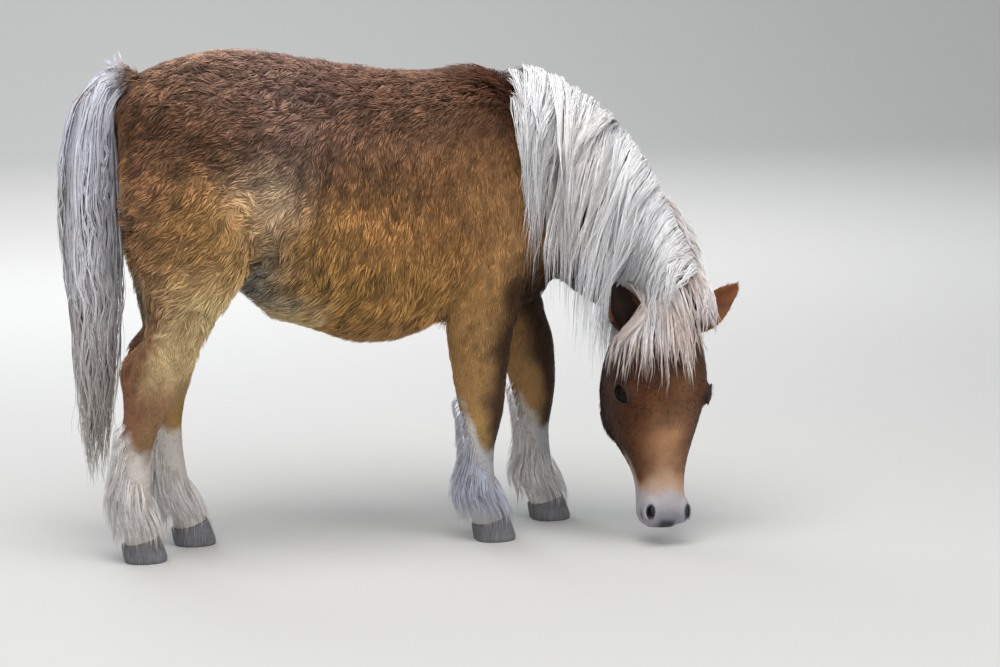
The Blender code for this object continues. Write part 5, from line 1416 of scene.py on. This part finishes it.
lashPiece = strandMesh("lashes", np.array(paths), np.array(outs), np.tile([0.0005, 0.0004, 0.0003, 0.0001], (count, 1)),
                       np.tile(np.array(lashes["colour"]), (count, 4, 1)), skinUvAt(paths), furFinish)

# ---- hooves

hoof = {"length": 0.088, "width": 0.080, "coronet": 0.040, "slope": math.radians(-17)}
hornFinish, nodes, links, shader = newMaterial("hoof horn")
place = nodes.new("ShaderNodeTexCoord")
rings = addNode(nodes, "ShaderNodeTexWave", Scale=24.0, Distortion=3.0, Detail=2.0)
rings.wave_type = "BANDS"
rings.bands_direction = "Z"
grain = addNode(nodes, "ShaderNodeTexNoise", Scale=90.0, Detail=6.0, Roughness=0.7)
stretchNode = nodes.new("ShaderNodeMapping")
stretchNode.inputs["Scale"].default_value = (3, 3, 0.35)
links.new(place.outputs["Object"], stretchNode.inputs["Vector"])
links.new(place.outputs["Object"], rings.inputs["Vector"])
links.new(stretchNode.outputs["Vector"], grain.inputs["Vector"])
tones = nodes.new("ShaderNodeValToRGB")
tones.color_ramp.elements[0].position = 0.25
tones.color_ramp.elements[0].color = (0.046, 0.044, 0.050, 1)
tones.color_ramp.elements[1].position = 0.80
tones.color_ramp.elements[1].color = (0.235, 0.230, 0.250, 1)
links.new(grain.outputs["Fac"], tones.inputs["Fac"])
links.new(tones.outputs["Color"], shader.inputs["Base Color"])
bump = addNode(nodes, "ShaderNodeBump", Strength=0.30, Distance=0.0008)
both = nodes.new("ShaderNodeMath")
both.operation = "ADD"
links.new(rings.outputs["Fac"], both.inputs[0])
links.new(grain.outputs["Fac"], both.inputs[1])
links.new(both.outputs["Value"], bump.inputs["Height"])
links.new(bump.outputs["Normal"], shader.inputs["Normal"])
hornRough = addNode(nodes, "ShaderNodeMapRange", To_Min=0.45, To_Max=0.75)
links.new(grain.outputs["Fac"], hornRough.inputs["Value"])
links.new(hornRough.outputs["Result"], shader.inputs["Roughness"])
for name, (rows, side) in legRows.items():
    _, back, front, apart, _ = rowAt(rows, 0.03)
    bm = bmesh.new()
    loops = []
    sizes = [(0.0, 0.985, 0.0), (0.0025, 1.0, 0.0), (0.007, 1.010, 0.0), (0.014, 0.995, -0.002), (0.022, 0.968, -0.004),
             (0.030, 0.940, -0.006), (0.038, 0.912, -0.008), (0.045, 0.885, -0.010), (0.049, 0.855, -0.011)]
    for height, share, slip in sizes:
        ring = []
        for point in ovalRing(Vector(((back + front) / 2 + slip + 0.004, side * apart, height)), Vector((1, 0, 0)),
                              Vector((0, 1, 0)), hoof["length"] / 2 * share, hoof["length"] / 2 * share * 0.96,
                              hoof["width"] / 2 * share, 2.3, 56):
            ahead = point.x - (back + front) / 2
            heel = smooth01(-ahead, 0.030, 0.045) * max(0.0, 1 - abs(point.y - side * apart) / 0.010)
            point.x += 0.006 * float(heel)
            point.z += math.tan(hoof["slope"]) * -1 * ahead * min(1.0, height / 0.049) * 1.0 - 0.004 * min(1.0, height / 0.049)
            ring.append(point)
        loops.append(ring)
    addLoft(bm, loops)
    piece = meshObject("hoof_" + name + "_fine", bm)
    for polygon in piece.data.polygons:
        polygon.use_smooth = len(polygon.vertices) < 6
    piece.data.materials.append(hornFinish)
    writePoints(piece, readPoints(piece) + np.array(shift))
    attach(piece, "root")
    legName, sideName = name.split("_")
    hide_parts("hoof_" + legName + "_" + sideName)

# ---- place the skin, the camera, the floor and the light

writePoints(skin, skinPoints + np.array(shift))
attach(skin, "root")
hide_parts("torso", "neck", "head", "ear_right", "ear_left", "leg_hind_right", "leg_hind_left",
            "leg_front_right", "leg_front_left")

camera = bpy.data.objects.new("camera", bpy.data.cameras.new("camera"))
scene.collection.objects.link(camera)
scene.camera = camera
view = {"eye": Vector((-0.976, -5.062, 1.252)), "target": Vector((0.26, -0.281, 0.47)), "lens": 90.9}
camera.data.lens = view["lens"]
camera.data.sensor_width = 36
camera.location = view["eye"] + shift
camera.rotation_mode = "QUATERNION"
camera.rotation_quaternion = (view["target"] - view["eye"]).to_track_quat("-Z", "Y")

studio = {"wide": 60.0, "near": -14.0, "far": 9.0, "high": 16.0, "bend": 5.0, "colour": (0.52, 0.52, 0.51, 1)}
bm = bmesh.new()
line = [bm.verts.new((-studio["wide"] / 2, studio["near"], 0)), bm.verts.new((-studio["wide"] / 2, studio["far"], 0))]
for i in range(1, 17):
    angle = math.pi / 2 * i / 16
    line.append(bm.verts.new((-studio["wide"] / 2, studio["far"] + math.sin(angle) * studio["bend"],
                              studio["bend"] * (1 - math.cos(angle)))))
line.append(bm.verts.new((-studio["wide"] / 2, studio["far"] + studio["bend"], studio["high"])))
edges = [bm.edges.new(pair) for pair in zip(line, line[1:])]
swept = bmesh.ops.extrude_edge_only(bm, edges=edges)
bmesh.ops.translate(bm, vec=(studio["wide"], 0, 0), verts=[v for v in swept["geom"] if isinstance(v, bmesh.types.BMVert)])
floor = meshObject("floor", bm)
floor.data.polygons.foreach_set("use_smooth", [True] * len(floor.data.polygons))
floorFinish, nodes, links, shader = newMaterial("pale floor")
shader.inputs["Base Color"].default_value = studio["colour"]
shader.inputs["Roughness"].default_value = 0.85
floor.data.materials.append(floorFinish)

world = bpy.data.worlds.new("studio")
scene.world = world
world.use_nodes = True
world.node_tree.nodes["Background"].inputs["Color"].default_value = (0.93, 0.96, 1.0, 1)
world.node_tree.nodes["Background"].inputs["Strength"].default_value = 0.62


def softLight(name, place, aim, size, power, colour):
    lamp = bpy.data.objects.new(name, bpy.data.lights.new(name, "AREA"))
    scene.collection.objects.link(lamp)
    lamp.location = place
    lamp.rotation_mode = "QUATERNION"
    lamp.rotation_quaternion = (Vector(aim) - Vector(place)).to_track_quat("-Z", "Y")
    lamp.data.energy = power
    lamp.data.size = size
    lamp.data.color = colour


softLight("top", (-0.6, -1.2, 4.2), (0, 0, 0.5), 3.2, 170, (1.0, 0.98, 0.95))
softLight("front", (2.6, -3.6, 2.4), (0.2, 0, 0.5), 2.4, 62, (1.0, 0.97, 0.93))
softLight("back", (-1.5, 3.6, 3.0), (0, 0, 0.6), 2.5, 60, (0.92, 0.96, 1.0))
softLight("backdrop", (0.5, 5.5, 4.5), (0.5, 8.5, 0.0), 6.0, 300, (1.0, 1.0, 1.0))
scene.view_settings.view_transform = "Standard"
